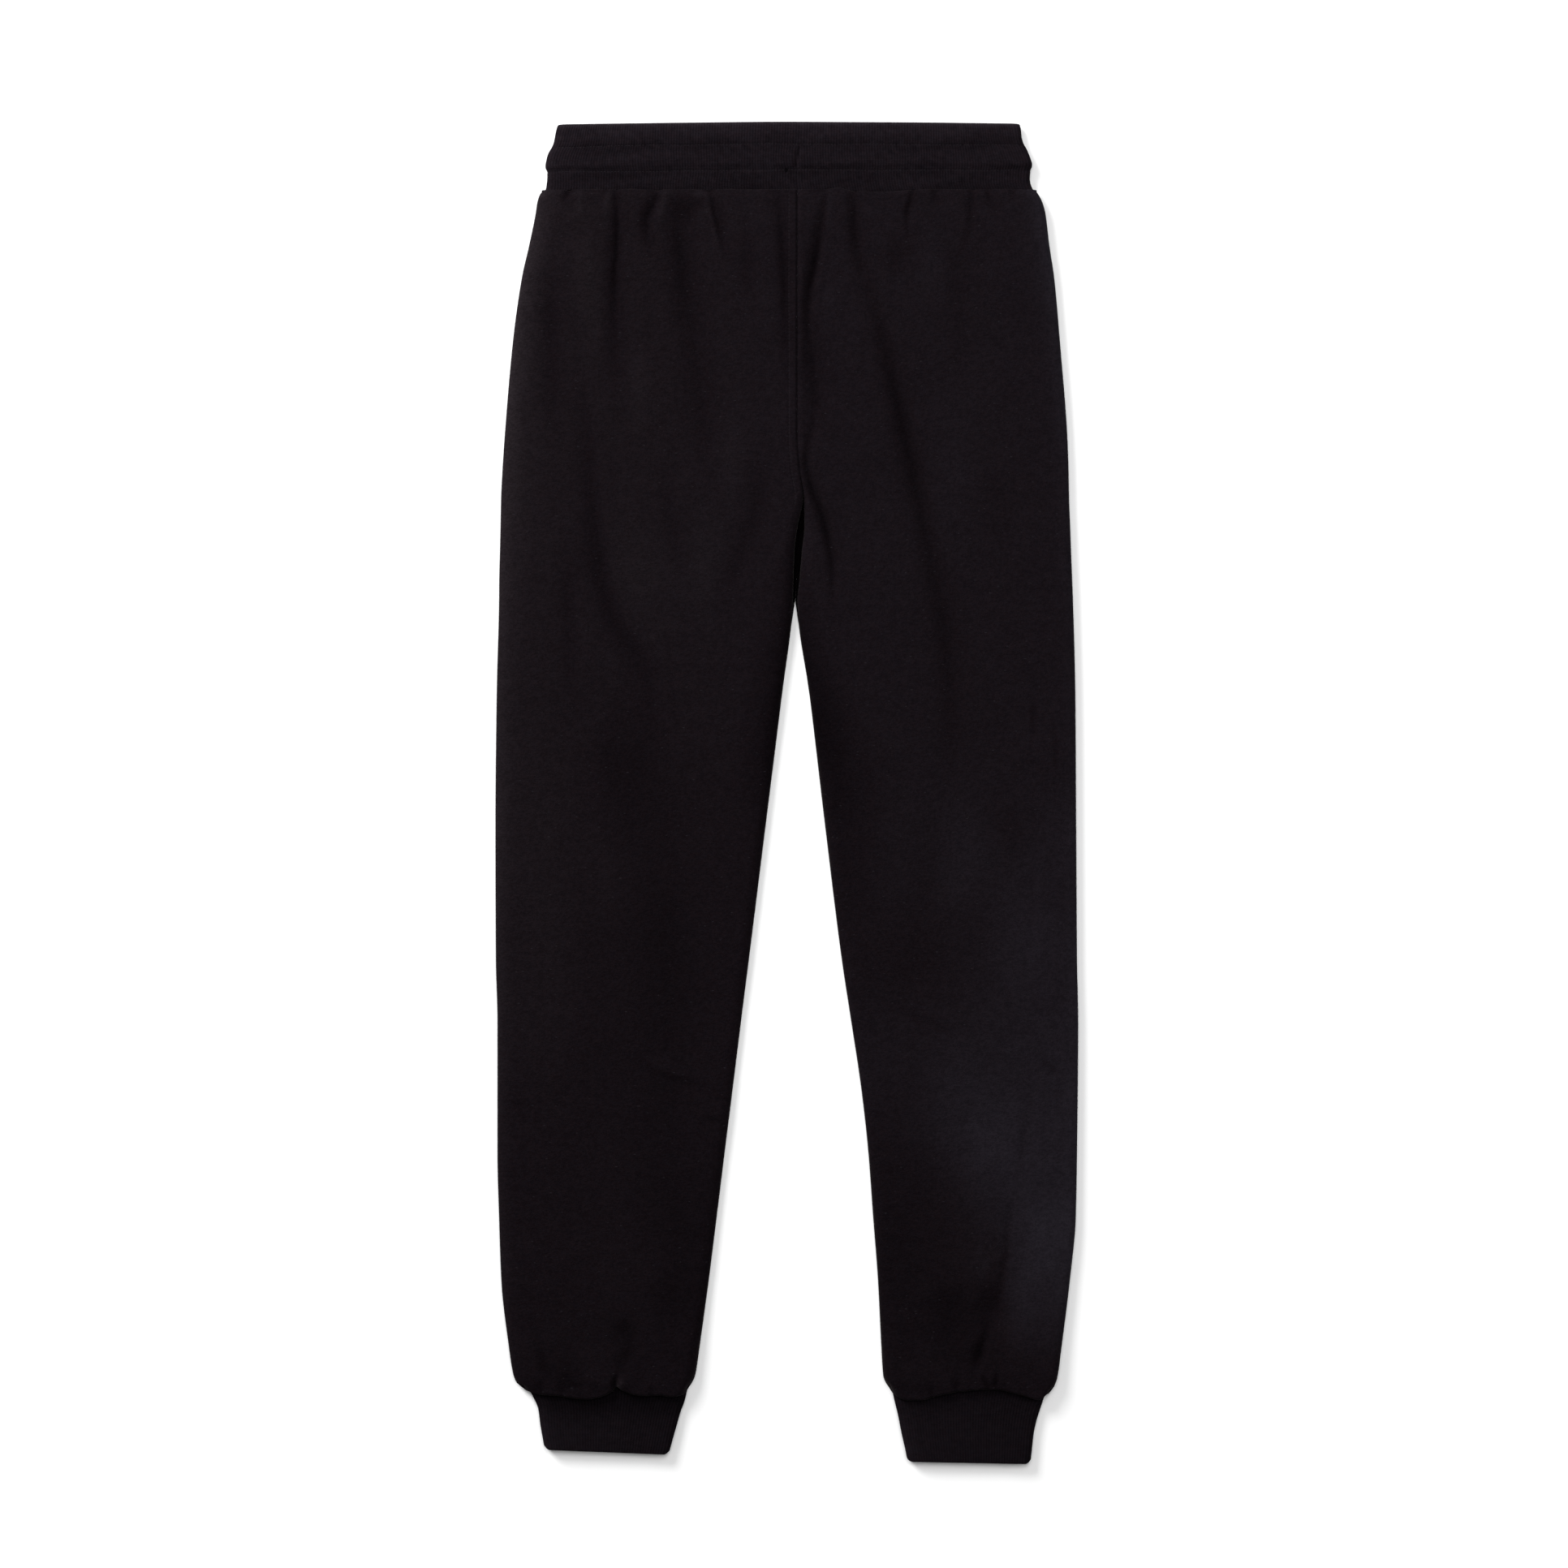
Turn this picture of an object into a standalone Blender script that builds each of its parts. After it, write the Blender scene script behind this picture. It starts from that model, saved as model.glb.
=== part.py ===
"""Jogger sweatpants laid flat on their front, with the back upwards.

Seven sewn pieces: two back panels, two front panels, a ribbed waistband and two ribbed
cuffs. Each piece is a closed wall of cloth. The waistband points to +Y, the wearer's
left is at -X, and the front panels lie flat on Z = 0. Lengths are metres, and places
along the garment are given as a distance down from the top edge of the waistband.
"""

from collections import namedtuple

import bmesh
import bpy
import numpy as np

COLLECTION = "jogger_sweatpants"

# Whole garment
LENGTH = 1.000            # top edge of the waistband to the lowest cuff hem
WALL = 0.0028             # brushed fleece, one layer
SEAM_GAP = 0.0003         # gap left between two sewn pieces
SIDE_SEAM_HEIGHT = 0.0044  # height of the side seam on the fold at the edge of the garment
SIDE_FOLD_REACH = 0.013   # how far in from the side the top layer takes to rise
UNDER_FOLD_REACH = 0.007  # the same for the layer underneath
INNER_FOLD_REACH = 0.009  # the same along the inside of the legs

# Ribbed pieces
RIB_PITCH = 0.0020
RIB_HEIGHT = 0.0006
BAND_WALL = 0.0030        # doubled rib with the elastic inside
CUFF_WALL = 0.0026        # doubled rib
BAND_BOTTOM = 0.0500      # seam between the waistband and the panels
RIB_FOLD_REACH = 0.0055   # how far in from the side a ribbed piece takes to rise

# Mesh density
SIDE_STEPS = 4
ACROSS_STEPS = 34
INNER_STEPS = 4
FRONT_ACROSS_STEPS = 10
LINING_STEPS = 2
LINING_ACROSS_STEPS = 4
PATH_SAMPLES = 40

# Edges of the panels, measured from the middle of the garment. From the crotch down,
# left_inner and right_inner are the folds along the inside of each leg.
Edge = namedtuple("Edge", "down left_side left_inner right_inner right_side")
EDGES = (
    Edge(0.0500, -0.1800, 0.0076, 0.0076, 0.1842),
    Edge(0.0540, -0.1840, 0.0076, 0.0076, 0.1874),
    Edge(0.0600, -0.1860, 0.0076, 0.0076, 0.1905),
    Edge(0.0680, -0.1872, 0.0076, 0.0076, 0.1927),
    Edge(0.0920, -0.1921, 0.0076, 0.0076, 0.1957),
    Edge(0.1160, -0.1975, 0.0076, 0.0076, 0.1993),
    Edge(0.1640, -0.2042, 0.0076, 0.0076, 0.2036),
    Edge(0.2330, -0.2102, 0.0076, 0.0076, 0.2090),
    Edge(0.2600, -0.2120, 0.0095, 0.0095, 0.2100),
    Edge(0.2800, -0.2130, 0.0122, 0.0126, 0.2104),
    Edge(0.3010, -0.2134, 0.0082, 0.0130, 0.2112),
    Edge(0.3180, -0.2138, 0.0060, 0.0118, 0.2118),
    Edge(0.3430, -0.2144, 0.0060, 0.0100, 0.2128),
    Edge(0.3560, -0.2145, 0.0066, 0.0074, 0.2133),
    Edge(0.4290, -0.2163, -0.0039, 0.0172, 0.2151),
    Edge(0.5260, -0.2172, -0.0160, 0.0287, 0.2157),
    Edge(0.6230, -0.2169, -0.0281, 0.0408, 0.2163),
    Edge(0.6710, -0.2157, -0.0342, 0.0481, 0.2172),
    Edge(0.7195, -0.2157, -0.0402, 0.0554, 0.2169),
    Edge(0.7680, -0.2157, -0.0463, 0.0608, 0.2163),
    Edge(0.8165, -0.2145, -0.0523, 0.0644, 0.2154),
    Edge(0.8650, -0.2127, -0.0584, 0.0681, 0.2108),
    Edge(0.9130, -0.2072, -0.0650, 0.0705, 0.2048),
    Edge(0.9375, -0.2036, -0.0685, 0.0720, 0.2015),
    Edge(0.9445, -0.2009, -0.0712, 0.0745, 0.1990),
    Edge(0.9500, -0.1945, -0.0747, 0.0783, 0.1950),
)

# Height of the upper layer's outer face in the middle of a panel, and how far the back
# panel rolls down along its inner edge: 0 lies flat at the rise seam, 1 is a leg's fold.
Lie = namedtuple("Lie", "down height roll")
LIES = (
    Lie(0.0500, 0.0082, 0.0),
    Lie(0.0560, 0.0096, 0.0),
    Lie(0.0700, 0.0098, 0.0),
    Lie(0.1300, 0.0086, 0.0),
    Lie(0.2620, 0.0082, 0.0),
    Lie(0.2750, 0.0082, 0.22),
    Lie(0.2860, 0.0083, 0.65),
    Lie(0.3000, 0.0085, 1.0),
    Lie(0.4200, 0.0084, 1.0),
    Lie(0.7000, 0.0082, 1.0),
    Lie(0.8800, 0.0086, 1.0),
    Lie(0.9200, 0.0098, 1.0),
    Lie(0.9380, 0.0106, 1.0),
    Lie(0.9460, 0.0100, 1.0),
    Lie(0.9500, 0.0078, 1.0),
)

# Gathers and creases of the back panels. relief is below 0 for a trough, width is half
# the fold's width, and peak says how far along its path the fold is strongest.
Fold = namedtuple("Fold", "name relief width peak path")
FOLDS = (
    Fold("gather_left_1", -0.0008, 0.004, 0.0, ((-0.164, 0.050), (-0.165, 0.070))),
    Fold("gather_left_2", -0.0013, 0.005, 0.0, ((-0.131, 0.050), (-0.130, 0.084), (-0.128, 0.122))),
    Fold("gather_left_3", -0.0015, 0.005, 0.0, ((-0.103, 0.050), (-0.107, 0.075), (-0.101, 0.100))),
    Fold("ridge_left_3", 0.0022, 0.007, 0.1, ((-0.117, 0.050), (-0.118, 0.090), (-0.116, 0.130))),
    Fold("ridge_left_4", 0.0014, 0.006, 0.1, ((-0.091, 0.050), (-0.091, 0.085), (-0.087, 0.130))),
    Fold("gather_left_4", -0.0014, 0.006, 0.0,
         ((-0.080, 0.050), (-0.074, 0.109), (-0.071, 0.163), (-0.066, 0.211), (-0.061, 0.256))),
    Fold("gather_left_5", -0.0014, 0.005, 0.0, ((-0.060, 0.050), (-0.054, 0.084), (-0.044, 0.110))),
    Fold("ridge_left_5", 0.0020, 0.006, 0.1, ((-0.069, 0.050), (-0.064, 0.100), (-0.056, 0.180))),
    Fold("gather_left_7", -0.0010, 0.005, 0.1, ((-0.007, 0.050), (-0.004, 0.110), (-0.002, 0.180))),
    Fold("lap_right_1", -0.0016, 0.005, 0.1,
         ((0.028, 0.050), (0.023, 0.090), (0.017, 0.121), (0.016, 0.151), (0.020, 0.180))),
    Fold("ridge_right_1", 0.0028, 0.008, 0.1, ((0.038, 0.050), (0.035, 0.090), (0.030, 0.150))),
    Fold("ridge_right_2", 0.0013, 0.009, 0.2, ((0.066, 0.050), (0.070, 0.100), (0.084, 0.160))),
    Fold("ridge_right_3", 0.0013, 0.008, 0.1, ((0.110, 0.050), (0.109, 0.080), (0.112, 0.120))),
    Fold("drag_right", -0.0014, 0.007, 0.3,
         ((0.048, 0.050), (0.054, 0.110), (0.070, 0.155), (0.081, 0.211), (0.096, 0.277),
          (0.108, 0.331), (0.118, 0.390), (0.119, 0.492))),
    Fold("gather_right_3", -0.0013, 0.005, 0.0, ((0.091, 0.050), (0.088, 0.069), (0.090, 0.090))),
    Fold("gather_right_4", -0.0011, 0.006, 0.0, ((0.136, 0.050), (0.129, 0.092), (0.129, 0.187))),
    Fold("gather_right_5", -0.0010, 0.004, 0.0, ((0.150, 0.050), (0.155, 0.072))),
    Fold("crotch_crease", -0.0014, 0.006, 0.45,
         ((0.023, 0.205), (0.015, 0.250), (0.024, 0.280), (0.032, 0.310), (0.038, 0.346),
          (0.036, 0.372))),
    Fold("crotch_ridge", 0.0018, 0.008, 0.5, ((0.040, 0.230), (0.042, 0.290), (0.052, 0.360))),
    Fold("drag_left", -0.0013, 0.009, 0.4,
         ((-0.155, 0.205), (-0.146, 0.277), (-0.137, 0.346), (-0.098, 0.417), (-0.095, 0.514),
          (-0.096, 0.695))),
    Fold("knee_left", -0.0009, 0.008, 0.5, ((-0.110, 0.700), (-0.070, 0.717), (-0.046, 0.722))),
    Fold("hem_left_1", -0.0016, 0.006, 0.9,
         ((-0.130, 0.885), (-0.120, 0.908), (-0.122, 0.925), (-0.127, 0.950))),
    Fold("hem_ridge_left", 0.0014, 0.006, 0.8, ((-0.110, 0.895), (-0.109, 0.920), (-0.112, 0.945))),
    Fold("hem_left_2", -0.0010, 0.008, 0.5, ((-0.098, 0.845), (-0.083, 0.915))),
    Fold("hem_left_3", -0.0010, 0.006, 0.6, ((-0.183, 0.905), (-0.175, 0.945))),
    Fold("hem_right_1", -0.0015, 0.008, 0.9,
         ((0.169, 0.800), (0.161, 0.845), (0.155, 0.875), (0.145, 0.910), (0.140, 0.950))),
    Fold("hem_ridge_right", 0.0016, 0.008, 0.6, ((0.184, 0.800), (0.178, 0.850), (0.160, 0.945))),
    Fold("hem_right_2", -0.0011, 0.010, 0.5, ((0.078, 0.786), (0.093, 0.816), (0.123, 0.900))),
    Fold("hem_right_3", -0.0012, 0.005, 1.0, ((0.122, 0.915), (0.121, 0.950))),
)

# Rows of the waistband: its two sides, and its height along the three tiers that two
# stitched rows draw in.
Band = namedtuple("Band", "down left right height")
BAND_ROWS = (
    Band(0.0000, -0.1703, 0.1733, 0.0076),
    Band(0.0030, -0.1716, 0.1742, 0.0084),
    Band(0.0135, -0.1742, 0.1760, 0.0084),
    Band(0.0168, -0.1755, 0.1772, 0.0074),
    Band(0.0215, -0.1778, 0.1794, 0.0094),
    Band(0.0300, -0.1795, 0.1818, 0.0096),
    Band(0.0355, -0.1784, 0.1812, 0.0074),
    Band(0.0400, -0.1788, 0.1813, 0.0083),
    Band(0.0500, -0.1800, 0.1842, 0.0080),
)
BAND_BOW = 0.0020         # how much lower the top edge lies at its two ends
BAND_SEAM_X = 0.0076      # the centre-back seam, a groove down the middle tier
BAND_SEAM_WIDTH = 0.0016
BAND_SEAM_DEPTH = 0.0012
BAND_SEAM_TIER = (0.0215, 0.0300)

# Rows of the cuffs, as a share of the way from the leg to the hem.
Cuff = namedtuple("Cuff", "share side inner height")
CUFFS = {
    "left": (
        Cuff(0.00, -0.1935, -0.0752, 0.0078),
        Cuff(0.14, -0.1886, -0.0772, 0.0082),
        Cuff(0.36, -0.1860, -0.0802, 0.0080),
        Cuff(0.80, -0.1832, -0.0850, 0.0076),
        Cuff(1.00, -0.1818, -0.0873, 0.0068),
    ),
    "right": (
        Cuff(0.00, 0.1945, 0.0786, 0.0078),
        Cuff(0.18, 0.1890, 0.0815, 0.0082),
        Cuff(0.36, 0.1860, 0.0832, 0.0080),
        Cuff(0.80, 0.1830, 0.0862, 0.0076),
        Cuff(1.00, 0.1818, 0.0888, 0.0068),
    ),
}

# Ends of the legs and cuffs: the seam between them bows up in the middle, and the hems
# are a little out of square.
Hem = namedtuple("Hem", "seam_down seam_bow hem_down_side hem_down_inner")
HEMS = {
    "left": Hem(0.9500, 0.0010, 0.9895, 0.9930),
    "right": Hem(0.9505, 0.0055, LENGTH, 0.9983),
}

BACK_DOWNS = (
    0.0500, 0.0550, 0.0620, 0.0710, 0.0820, 0.0950, 0.1110, 0.1300, 0.1540, 0.1840, 0.2160,
    0.2440, 0.2620, 0.2750, 0.2860, 0.3000, 0.3150, 0.3300, 0.3450, 0.3560, 0.3800, 0.4290,
    0.5260, 0.6230, 0.7000, 0.7400, 0.8000, 0.8450, 0.8750, 0.9000, 0.9200, 0.9340, 0.9430,
    0.9500,
)
FRONT_DOWNS = (
    0.0500, 0.0550, 0.0620, 0.0820, 0.1300, 0.1840, 0.2440, 0.2860, 0.3150, 0.3450, 0.3560,
    0.4290, 0.5260, 0.6230, 0.7000, 0.7680, 0.8165, 0.8650, 0.9130, 0.9375, 0.9445, 0.9500,
)


# --- curves and relief ---------------------------------------------------------------


def smooth(rows, column, at):
    """One column of a table, read at distances on a curve that never overshoots."""
    places = np.array([row[0] for row in rows])
    values = np.array([getattr(row, column) for row in rows])
    steps = np.diff(places)
    rises = np.diff(values) / steps
    slopes = np.concatenate(([rises[0]], np.zeros(len(rises) - 1), [rises[-1]]))
    same_way = rises[:-1] * rises[1:] > 0
    before = rises[:-1][same_way]
    after = rises[1:][same_way]
    slopes[1:-1][same_way] = 2.0 * before * after / (before + after)
    at = np.clip(at, places[0], places[-1])
    cell = np.clip(np.searchsorted(places, at) - 1, 0, len(steps) - 1)
    t = (at - places[cell]) / steps[cell]
    start = (1 + 2 * t) * (1 - t) ** 2 * values[cell] + t * (1 - t) ** 2 * steps[cell] * slopes[cell]
    end = t * t * (3 - 2 * t) * values[cell + 1] + t * t * (t - 1) * steps[cell] * slopes[cell + 1]
    return start + end


def fold_path(fold):
    """Evenly numbered points along a fold, from its first point to its last."""
    points = np.array(fold.path)
    lengths = np.concatenate(([0.0], np.cumsum(np.linalg.norm(np.diff(points, axis=0), axis=1))))
    at = np.linspace(0.0, lengths[-1], PATH_SAMPLES)
    return np.stack([np.interp(at, lengths, points[:, axis]) for axis in (0, 1)], axis=1)


def fold_strength(share, peak):
    """How strong a fold is along its length: 1 at its peak, 0 at the ends beyond it."""
    rising = np.ones_like(share) if peak <= 0 else np.clip(share / peak, 0, 1)
    falling = np.ones_like(share) if peak >= 1 else np.clip((1 - share) / (1 - peak), 0, 1)
    lower = np.minimum(rising, falling)
    return lower * lower * (3 - 2 * lower)


def relief(x, down):
    """Height that the gathers and creases add to a back panel's outer face."""
    total = np.zeros_like(x)
    for fold in FOLDS:
        path = fold_path(fold)
        distance = np.hypot(x[:, None] - path[:, 0], down[:, None] - path[:, 1])
        nearest = distance.argmin(axis=1)
        share = nearest / (PATH_SAMPLES - 1)
        across = distance.min(axis=1) / fold.width
        total += fold.relief * fold_strength(share, fold.peak) * np.exp(-across * across)
    return total


# --- meshes --------------------------------------------------------------------------


def zip_rows(bm, row_a, places_a, row_b, places_b):
    """Join two rows of unlike counts with triangles, in order of their places."""
    a = b = 0
    while a < len(row_a) - 1 or b < len(row_b) - 1:
        if b == len(row_b) - 1 or (a < len(row_a) - 1 and places_a[a + 1] <= places_b[b + 1]):
            bm.faces.new((row_a[a], row_a[a + 1], row_b[b]))
            a += 1
        else:
            bm.faces.new((row_a[a], row_b[b + 1], row_b[b]))
            b += 1


def add_grid(bm, points, closed):
    """Add a grid of points and its faces; a closed grid joins its last column to its first."""
    grid = [[bm.verts.new(point) for point in row] for row in points]
    if closed:
        grid = [row + row[:1] for row in grid]
    for upper, lower in zip(grid, grid[1:]):
        for column in range(len(upper) - 1):
            bm.faces.new((upper[column], upper[column + 1], lower[column + 1], lower[column]))
    return grid


def add_wall(name, outer, outer_places, inner, inner_places, closed):
    """Make one closed wall of cloth from an outer and an inner grid of points.

    outer and inner are arrays of rows x columns x 3 with the same number of rows, and the
    places give each column's share of the way across, by which the ends are joined.
    """
    bm = bmesh.new()
    outer_grid = add_grid(bm, outer, closed)
    inner_grid = add_grid(bm, inner, closed)
    for row in (0, -1):
        zip_rows(bm, outer_grid[row], outer_places, inner_grid[row], inner_places)
    if not closed:
        for column in (0, -1):
            for row in range(len(outer_grid) - 1):
                bm.faces.new((
                    outer_grid[row][column], outer_grid[row + 1][column],
                    inner_grid[row + 1][column], inner_grid[row][column],
                ))
    bmesh.ops.triangulate(bm, faces=bm.faces)
    bmesh.ops.recalc_face_normals(bm, faces=bm.faces)
    mesh = bpy.data.meshes.new(name)
    bm.to_mesh(mesh)
    bm.free()
    mesh.shade_smooth()
    mesh.set_sharp_from_angle(angle=np.radians(50))
    return bpy.data.objects.new(name, mesh)


def place(x, down, z):
    """Points in space from distances across, down and up."""
    return np.stack([x, LENGTH / 2 - down, z], axis=-1)


# --- panels --------------------------------------------------------------------------


def seam_down(hand, x):
    """Where a leg ends at each x: the seam with its cuff, bowed up in the middle."""
    hem = HEMS[hand]
    side = smooth(EDGES, hand + "_side", hem.seam_down)
    inner = smooth(EDGES, hand + "_inner", hem.seam_down)
    share = np.clip((x - inner) / (side - inner), 0, 1)
    return hem.seam_down - hem.seam_bow * np.sin(np.pi * share)


def end_warp(hand, x, down):
    """Move the last rows of a leg so that they end on the seam with the cuff."""
    first, last = 0.900, EDGES[-1].down
    share = np.clip((down - first) / (last - first), 0, 1)
    return down + share * share * (seam_down(hand, x) - last)


def trim_ends(rows):
    """Keep a panel's first and last rows half a seam gap inside its seams."""
    rows[0, :, 1] -= SEAM_GAP / 2
    rows[-1, :, 1] += SEAM_GAP / 2
    return rows


def back_row(hand, down, steps, inset, drop):
    """One row of a back panel: x and z, how far the folds reach, and the places.

    inset and drop are 0 for the outer face, and the wall's thickness for the inner face.
    """
    inward = 1.0 if hand == "left" else -1.0
    side_steps, across_steps, inner_steps = steps
    side = smooth(EDGES, hand + "_side", down) + inward * inset
    inner = smooth(EDGES, hand + "_inner", down) - inward * SEAM_GAP / 2
    roll = smooth(LIES, "roll", down)
    height = smooth(LIES, "height", down) - drop
    turn = np.radians(90.0) * roll
    end_x = inner - inward * inset * np.sin(turn)
    end_z = height - roll * (height - WALL - SEAM_GAP)
    start_x = inner - inward * INNER_FOLD_REACH

    rise = np.linspace(0.0, np.radians(90.0), side_steps + 1)
    side_x = side + inward * (SIDE_FOLD_REACH - inset) * (1 - np.cos(rise))
    side_z = SIDE_SEAM_HEIGHT + (height - SIDE_SEAM_HEIGHT) * np.sin(rise)
    across_x = np.linspace(side_x[-1], start_x, across_steps + 1)[1:-1]
    fall = np.linspace(0.0, np.radians(90.0), inner_steps + 1)
    inner_x = start_x + (end_x - start_x) * np.sin(fall)
    inner_z = height + (end_z - height) * (1 - np.cos(fall))

    x = np.concatenate((side_x, across_x, inner_x))
    z = np.concatenate((side_z, np.full(len(across_x), height), inner_z))
    reach = np.concatenate((np.sin(rise), np.ones(len(across_x)), 1 - roll * (1 - np.cos(fall))))
    return x, z, reach


def back_panel(hand):
    """One back panel, from the waistband to the cuff, with its gathers and creases."""
    outer = []
    inner = []
    for down in BACK_DOWNS:
        steps = (SIDE_STEPS, ACROSS_STEPS, INNER_STEPS)
        x, z, reach = back_row(hand, down, steps, 0.0, 0.0)
        downs = end_warp(hand, x, np.full(len(x), down))
        outer.append(place(x, downs, z + reach * relief(x, downs)))
        steps = (LINING_STEPS, LINING_ACROSS_STEPS, LINING_STEPS)
        x, z, _ = back_row(hand, down, steps, WALL, WALL)
        inner.append(place(x, end_warp(hand, x, np.full(len(x), down)), z))
    outer_places = np.linspace(0, 1, len(outer[0]))
    inner_places = np.linspace(0, 1, len(inner[0]))
    return add_wall(
        "back_panel_" + hand, trim_ends(np.array(outer)), outer_places,
        trim_ends(np.array(inner)), inner_places, closed=False,
    )


def front_inner(hand, down):
    """Inner edge of a front panel: the centre-front seam, then the inside of the leg."""
    left = smooth(EDGES, "left_inner", down)
    right = smooth(EDGES, "right_inner", down)
    middle = (left + right) / 2
    crotch = 0.356
    edge = middle if down < crotch else {"left": left, "right": right}[hand]
    return edge + (-SEAM_GAP / 2 if hand == "left" else SEAM_GAP / 2)


def front_row(hand, down, inset, lift):
    """One row of a front panel: flat underneath, turned up at the side seam."""
    inward = 1.0 if hand == "left" else -1.0
    side = smooth(EDGES, hand + "_side", down) + inward * inset
    top = SIDE_SEAM_HEIGHT - SEAM_GAP
    fall = np.linspace(0.0, np.radians(90.0), 4)
    side_x = side + inward * (UNDER_FOLD_REACH - inset) * (1 - np.cos(fall))
    side_z = top - (top - lift) * np.sin(fall)
    across_x = np.linspace(side_x[-1], front_inner(hand, down), FRONT_ACROSS_STEPS + 1)[1:]
    x = np.concatenate((side_x, across_x))
    z = np.concatenate((side_z, np.full(len(across_x), lift)))
    return x, z


def front_panel(hand):
    """One front panel, lying flat under the back panel."""
    faces = []
    for inset, lift in ((0.0, 0.0), (WALL, WALL)):
        rows = []
        for down in FRONT_DOWNS:
            x, z = front_row(hand, down, inset, lift)
            rows.append(place(x, end_warp(hand, x, np.full(len(x), down)), z))
        faces.append(trim_ends(np.array(rows)))
    places = np.linspace(0, 1, faces[0].shape[1])
    return add_wall("front_panel_" + hand, faces[0], places, faces[1], places, closed=False)


# --- ribbed tubes --------------------------------------------------------------------


def upper_path(left, right, middle_z, height, reach, places):
    """Points over the top of a flattened tube, from its left fold to its right fold."""
    arc = np.radians(90.0) * 0.5 * (reach + height - middle_z)
    flat = right - left - 2 * reach
    at = places * (flat + 2 * arc)
    turn_left = np.clip(at / arc, 0, 1) * np.radians(90.0)
    turn_right = np.clip((flat + 2 * arc - at) / arc, 0, 1) * np.radians(90.0)
    x = left + reach * (1 - np.cos(turn_left)) + np.clip(at - arc, 0, flat)
    x = x + reach * np.cos(turn_right)
    turn = np.minimum(turn_left, turn_right)
    z = middle_z + (height - middle_z) * np.sin(turn)
    normal_x = np.where(at < arc, -np.cos(turn_left), np.cos(turn_right))
    return x, z, normal_x, np.sin(turn)


def lower_path(left, right, middle_z, bottom_z, reach, places):
    """Points under a flattened tube, from its right fold back to its left fold."""
    x, z, _, _ = upper_path(left, right, middle_z, 2 * middle_z - bottom_z, reach, places)
    return x[::-1], 2 * middle_z - z[::-1]


def ribbed_tube(name, rows, wall, ribs, lining_steps):
    """A flattened tube with ribs over its top, a plain inside and a flat underside.

    rows hold (left, right, height, down_of, groove): down_of gives the distance down at
    x, and groove the depth of the seam that runs over the top.
    """
    rib_places = np.linspace(0, 1, 2 * ribs + 1)
    crest = (np.arange(2 * ribs + 1) % 2) * RIB_HEIGHT
    under_places = np.linspace(0, 1, lining_steps // 2 + 7)
    lining_places = np.linspace(0, 1, lining_steps + 1)
    outer = []
    inner = []
    for left, right, height, down_of, groove in rows:
        middle = height / 2
        body = height - RIB_HEIGHT
        x, z, nx, nz = upper_path(left, right, middle, body, RIB_FOLD_REACH, rib_places)
        x = x + nx * crest
        z = z + nz * crest - groove * np.exp(-(((x - BAND_SEAM_X) / BAND_SEAM_WIDTH) ** 2))
        under_x, under_z = lower_path(left, right, middle, 0.0, RIB_FOLD_REACH, under_places)
        ring_x = np.concatenate((x, under_x[1:-1]))
        ring_z = np.concatenate((z, under_z[1:-1]))
        outer.append(place(ring_x, down_of(ring_x), ring_z))
        reach = RIB_FOLD_REACH - wall / 2
        x, z, _, _ = upper_path(left + wall, right - wall, middle, body - wall, reach, lining_places)
        under_x, under_z = lower_path(left + wall, right - wall, middle, wall, reach, lining_places)
        ring_x = np.concatenate((x, under_x[1:-1]))
        ring_z = np.concatenate((z, under_z[1:-1]))
        inner.append(place(ring_x, down_of(ring_x), ring_z))
    outer_places = np.concatenate((rib_places / 2, 0.5 + under_places[1:] / 2))
    inner_places = np.concatenate((lining_places / 2, 0.5 + lining_places[1:] / 2))
    return add_wall(name, np.array(outer), outer_places, np.array(inner), inner_places, closed=True)


def waistband():
    """The three-tier ribbed waistband, drawn in by its two stitched rows."""
    top = BAND_ROWS[0]
    half_width = (top.right - top.left) / 2
    rows = []
    for row in BAND_ROWS:
        share = row.down / BAND_BOTTOM
        trim = SEAM_GAP / 2 * share

        def down_of(x, row=row, share=share, trim=trim):
            return row.down - trim + BAND_BOW * (1 - share) * np.clip(np.abs(x) / half_width, 0, 1) ** 2

        in_middle_tier = BAND_SEAM_TIER[0] <= row.down <= BAND_SEAM_TIER[1]
        groove = BAND_SEAM_DEPTH if in_middle_tier else 0.0
        rows.append((row.left, row.right, row.height, down_of, groove))
    ribs = round((BAND_ROWS[-1].right - BAND_ROWS[-1].left) / RIB_PITCH)
    return ribbed_tube("waistband", rows, BAND_WALL, ribs, 24)


def cuff(hand):
    """One ribbed cuff, from the seam with the leg to its hem."""
    hem = HEMS[hand]
    rows = []
    for row in CUFFS[hand]:
        ends = CUFFS[hand][-1]

        def down_of(x, row=row, ends=ends):
            across = np.clip((x - ends.inner) / (ends.side - ends.inner), 0, 1)
            hem_down = hem.hem_down_inner + across * (hem.hem_down_side - hem.hem_down_inner)
            top = seam_down(hand, x) + SEAM_GAP / 2
            return top + row.share * (hem_down - top)

        left, right = sorted((row.side, row.inner))
        rows.append((left, right, row.height, down_of, 0.0))
    ribs = round(abs(CUFFS[hand][-1].side - CUFFS[hand][-1].inner) / RIB_PITCH) + 4
    return ribbed_tube("cuff_" + hand, rows, CUFF_WALL, ribs, 12)


# --- materials and the whole garment -------------------------------------------------


def cloth_material(name, colour, roughness):
    """A plain dark cloth."""
    material = bpy.data.materials.new(name)
    material.use_nodes = True
    shader = material.node_tree.nodes["Principled BSDF"]
    shader.inputs["Base Color"].default_value = (*colour, 1.0)
    shader.inputs["Roughness"].default_value = roughness
    shader.inputs["Metallic"].default_value = 0.0
    return material


def clear_scene():
    """Remove what a new file holds."""
    for thing in list(bpy.data.objects):
        bpy.data.objects.remove(thing, do_unlink=True)


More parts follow.
